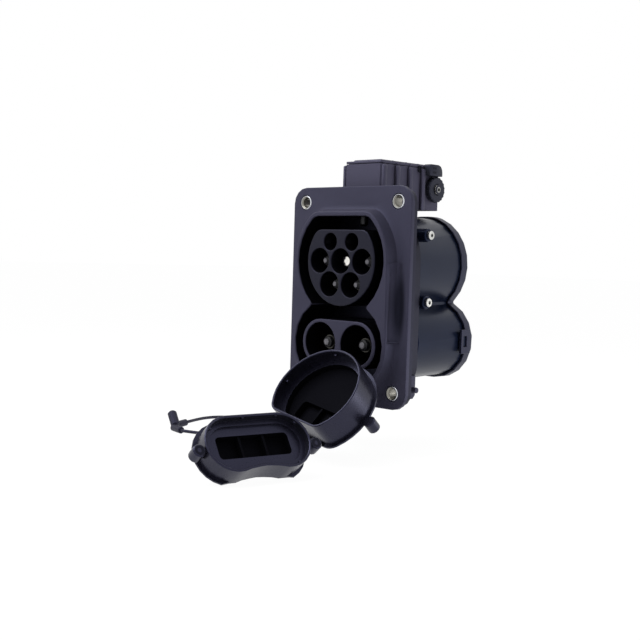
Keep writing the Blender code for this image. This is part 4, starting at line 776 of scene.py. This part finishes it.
# Painted shade: a thin near-black ring round the strap's eye on each ear.
on_points("dc_cap_ear_rings", annulus(1.1, 2.2, 0.05), RING_EARS, near_black_shade, "cap_plastic",
          DC_CAP_POSE)

# %% [markdown]
# The live pins end in a small pale cap. The caps are one round unit on the pins' ends, a larger one for the
# two power pins below.

# %% Pin tips
AC_TIP_Y = -1.75
DC_TIP_Y = -1.15
AC_TIPS = [(-14.6, AC_TIP_Y, AC_Z), (14.6, AC_TIP_Y, AC_Z),
           (-7.34, AC_TIP_Y, AC_Z - 12.07), (7.34, AC_TIP_Y, AC_Z - 12.07)]
DC_TIPS = [(-12.5, DC_TIP_Y, DC_Z), (12.5, DC_TIP_Y, DC_Z)]
for name, r, tips in (("ac_pin_tips", 1.2, AC_TIPS), ("dc_pin_tips", 1.7, DC_TIPS)):
    bump = boss(r, 0.5, 14, soft=0.2)
    bump.transform(Matrix.Rotation(math.radians(90), 4, "X"))
    on_points(name, bump, tips, tip_plastic, "guard_plastic", at(0, 0, 0))

# %% [markdown]
# ## Single small parts
# The actuator's plug socket is a rounded hood over its contacts, with two slots in its side; the slots and
# a window in the lid are thin near-black blocks, painted shade where the openings are. At the base's lower
# corner a lug carries the drain pin.

# %% Connector hood and drain lug


def slab_from_outline(points, x0, x1):
    """An outline in the Y-Z plane drawn out along X, with softened edges."""
    bm = prism([(x0, *point) for point in points], [(x1, *point) for point in points])
    bmesh.ops.bevel(bm, geom=bm.edges[:], offset=0.25 * MM, segments=2, profile=0.5, affect="EDGES",
                    clamp_overlap=True)
    return bm


HOOD = [(42.6, 16.3), (42.6, 21.6), (43.4, 22.4), (50.2, 22.4), (52.0, 21.7), (53.2, 20.2), (53.6, 18.4),
        (53.6, 16.3)]
LUG = [(12.2, -100.4), (12.2, -88.4), (18.8, -88.4), (18.8, -98.6), (17.0, -100.4)]
SLOT_STEP = (0, 0, -2.3 * MM)
hood = settle(loose_object("connector_hood", slab_from_outline(HOOD, 13.9, 18.4)), disc_plastic,
              "actuator_plastic", at(0, 0, 0))
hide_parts("lock_connector")
# Painted shade: thin near-black blocks for the hood's slots and the lid's window.
lay_out("connector_slots", ROW, block((0.12, 3.0, 1.1)), {"Count": 2, "Step": SLOT_STEP}, near_black_shade,
        "actuator_plastic", at(18.4, 46.6, 20.4))
lay_out("lid_window", ROW, block((0.2, 2.2, 3.6)), {"Count": 1, "Step": (0, 0, 0)}, near_black_shade,
        "actuator_plastic", at(14.6, 38.6, 19.4))
settle(loose_object("drain_lug", slab_from_outline(LUG, 24.5, 32.2)), flange_plastic, "housing_plastic",
       at(0, 0, 0))
settle(loose_object("drain_pin", boss(1.5, 3.6, soft=0.3)), flange_plastic, "housing_plastic",
       at(32.0, 15.9, -95.6, 90, "Y"))

# %% [markdown]
# ## Floor, world and lamps
# The studio is white all round. The floor and the world are white to the camera, in reflections and through
# clear things, and the lamps stay gentle, so that black plastic keeps its shape by reflections and not by
# strong light. A tenth of the floor stays plain paper, which takes the object's shadow.

# %% Studio
FLOOR_Z = -129.7
FLOOR_REACH = 6.0  # metres
FLOOR_GLOW = 1.06
FLOOR_GLEAM = 1.1
FLOOR_SHARE = 0.9
WORLD_LIGHT = 0.36


def seen_rays(tree):
    """The light path, and whether a ray comes from the camera, a reflection or a clear thing."""
    rays = add(tree, "ShaderNodeLightPath")
    looks = add(tree, "ShaderNodeMath", {0: rays.outputs["Is Camera Ray"], 1: rays.outputs["Is Glossy Ray"]},
                operation="MAXIMUM")
    seen = add(tree, "ShaderNodeMath", {0: looks.outputs["Value"], 1: rays.outputs["Is Transmission Ray"]},
               operation="MAXIMUM")
    return rays, seen


floor_mesh = bpy.data.meshes.new("floor")
floor_mesh.from_pydata([(x * FLOOR_REACH, y * FLOOR_REACH, FLOOR_Z * MM)
                        for x, y in ((-1, -1), (1, -1), (1, 1), (-1, 1))], [], [(0, 1, 2, 3)])
floor = bpy.data.objects.new("floor", floor_mesh)
scene.collection.objects.link(floor)

floor_white, tree, shader = new_material("white_paper_sweep", 0.9)
shader.inputs["Base Color"].default_value = colour("#f4f4f4")
rays, seen = seen_rays(tree)
bright = add(tree, "ShaderNodeMapRange", {"Value": rays.outputs["Is Camera Ray"], "To Min": FLOOR_GLEAM,
                                          "To Max": FLOOR_GLOW})
glow = add(tree, "ShaderNodeEmission", {"Strength": bright.outputs["Result"]})
share = add(tree, "ShaderNodeMath", {0: seen.outputs["Value"], 1: FLOOR_SHARE}, operation="MULTIPLY")
mix = add(tree, "ShaderNodeMixShader", {"Fac": share.outputs["Value"], 1: shader.outputs["BSDF"],
                                        2: glow.outputs["Emission"]})
tree.links.new(mix.outputs["Shader"], tree.nodes["Material Output"].inputs["Surface"])
floor_mesh.materials.append(floor_white)

world = bpy.data.worlds.new("white_studio")
scene.world = world
world.use_nodes = True
tree = world.node_tree
rays, seen = seen_rays(tree)
strength = add(tree, "ShaderNodeMapRange", {"Value": seen.outputs["Value"], "To Min": WORLD_LIGHT,
                                            "To Max": 1.0})
tree.nodes["Background"].inputs["Color"].default_value = (1, 1, 1, 1)
tree.links.new(strength.outputs["Result"], tree.nodes["Background"].inputs["Strength"])


def softbox(name, place, aim, width, height, power):
    """A rectangular lamp at a place, turned to a point; sizes in metres."""
    lamp = bpy.data.lights.new(name, "AREA")
    lamp.shape = "RECTANGLE"
    lamp.size, lamp.size_y, lamp.energy = width, height, power
    holder = bpy.data.objects.new(name, lamp)
    scene.collection.objects.link(holder)
    place = Vector(place)
    turn = (Vector(aim) - place).to_track_quat("-Z", "Y").to_matrix().to_4x4()
    holder.matrix_world = Matrix.Translation(place) @ turn
    return holder


softbox("key_softbox", (-0.16, -0.3, 0.36), (0, 0, -0.02), 0.45, 0.35, 2.4)
softbox("top_softbox", (0.1, 0.1, 0.6), (0, 0.02, -0.05), 0.5, 0.5, 0.7)
softbox("low_softbox", (0.16, 0.08, -0.12), (0.035, 0.045, -0.09), 0.1, 0.16, 0.2)
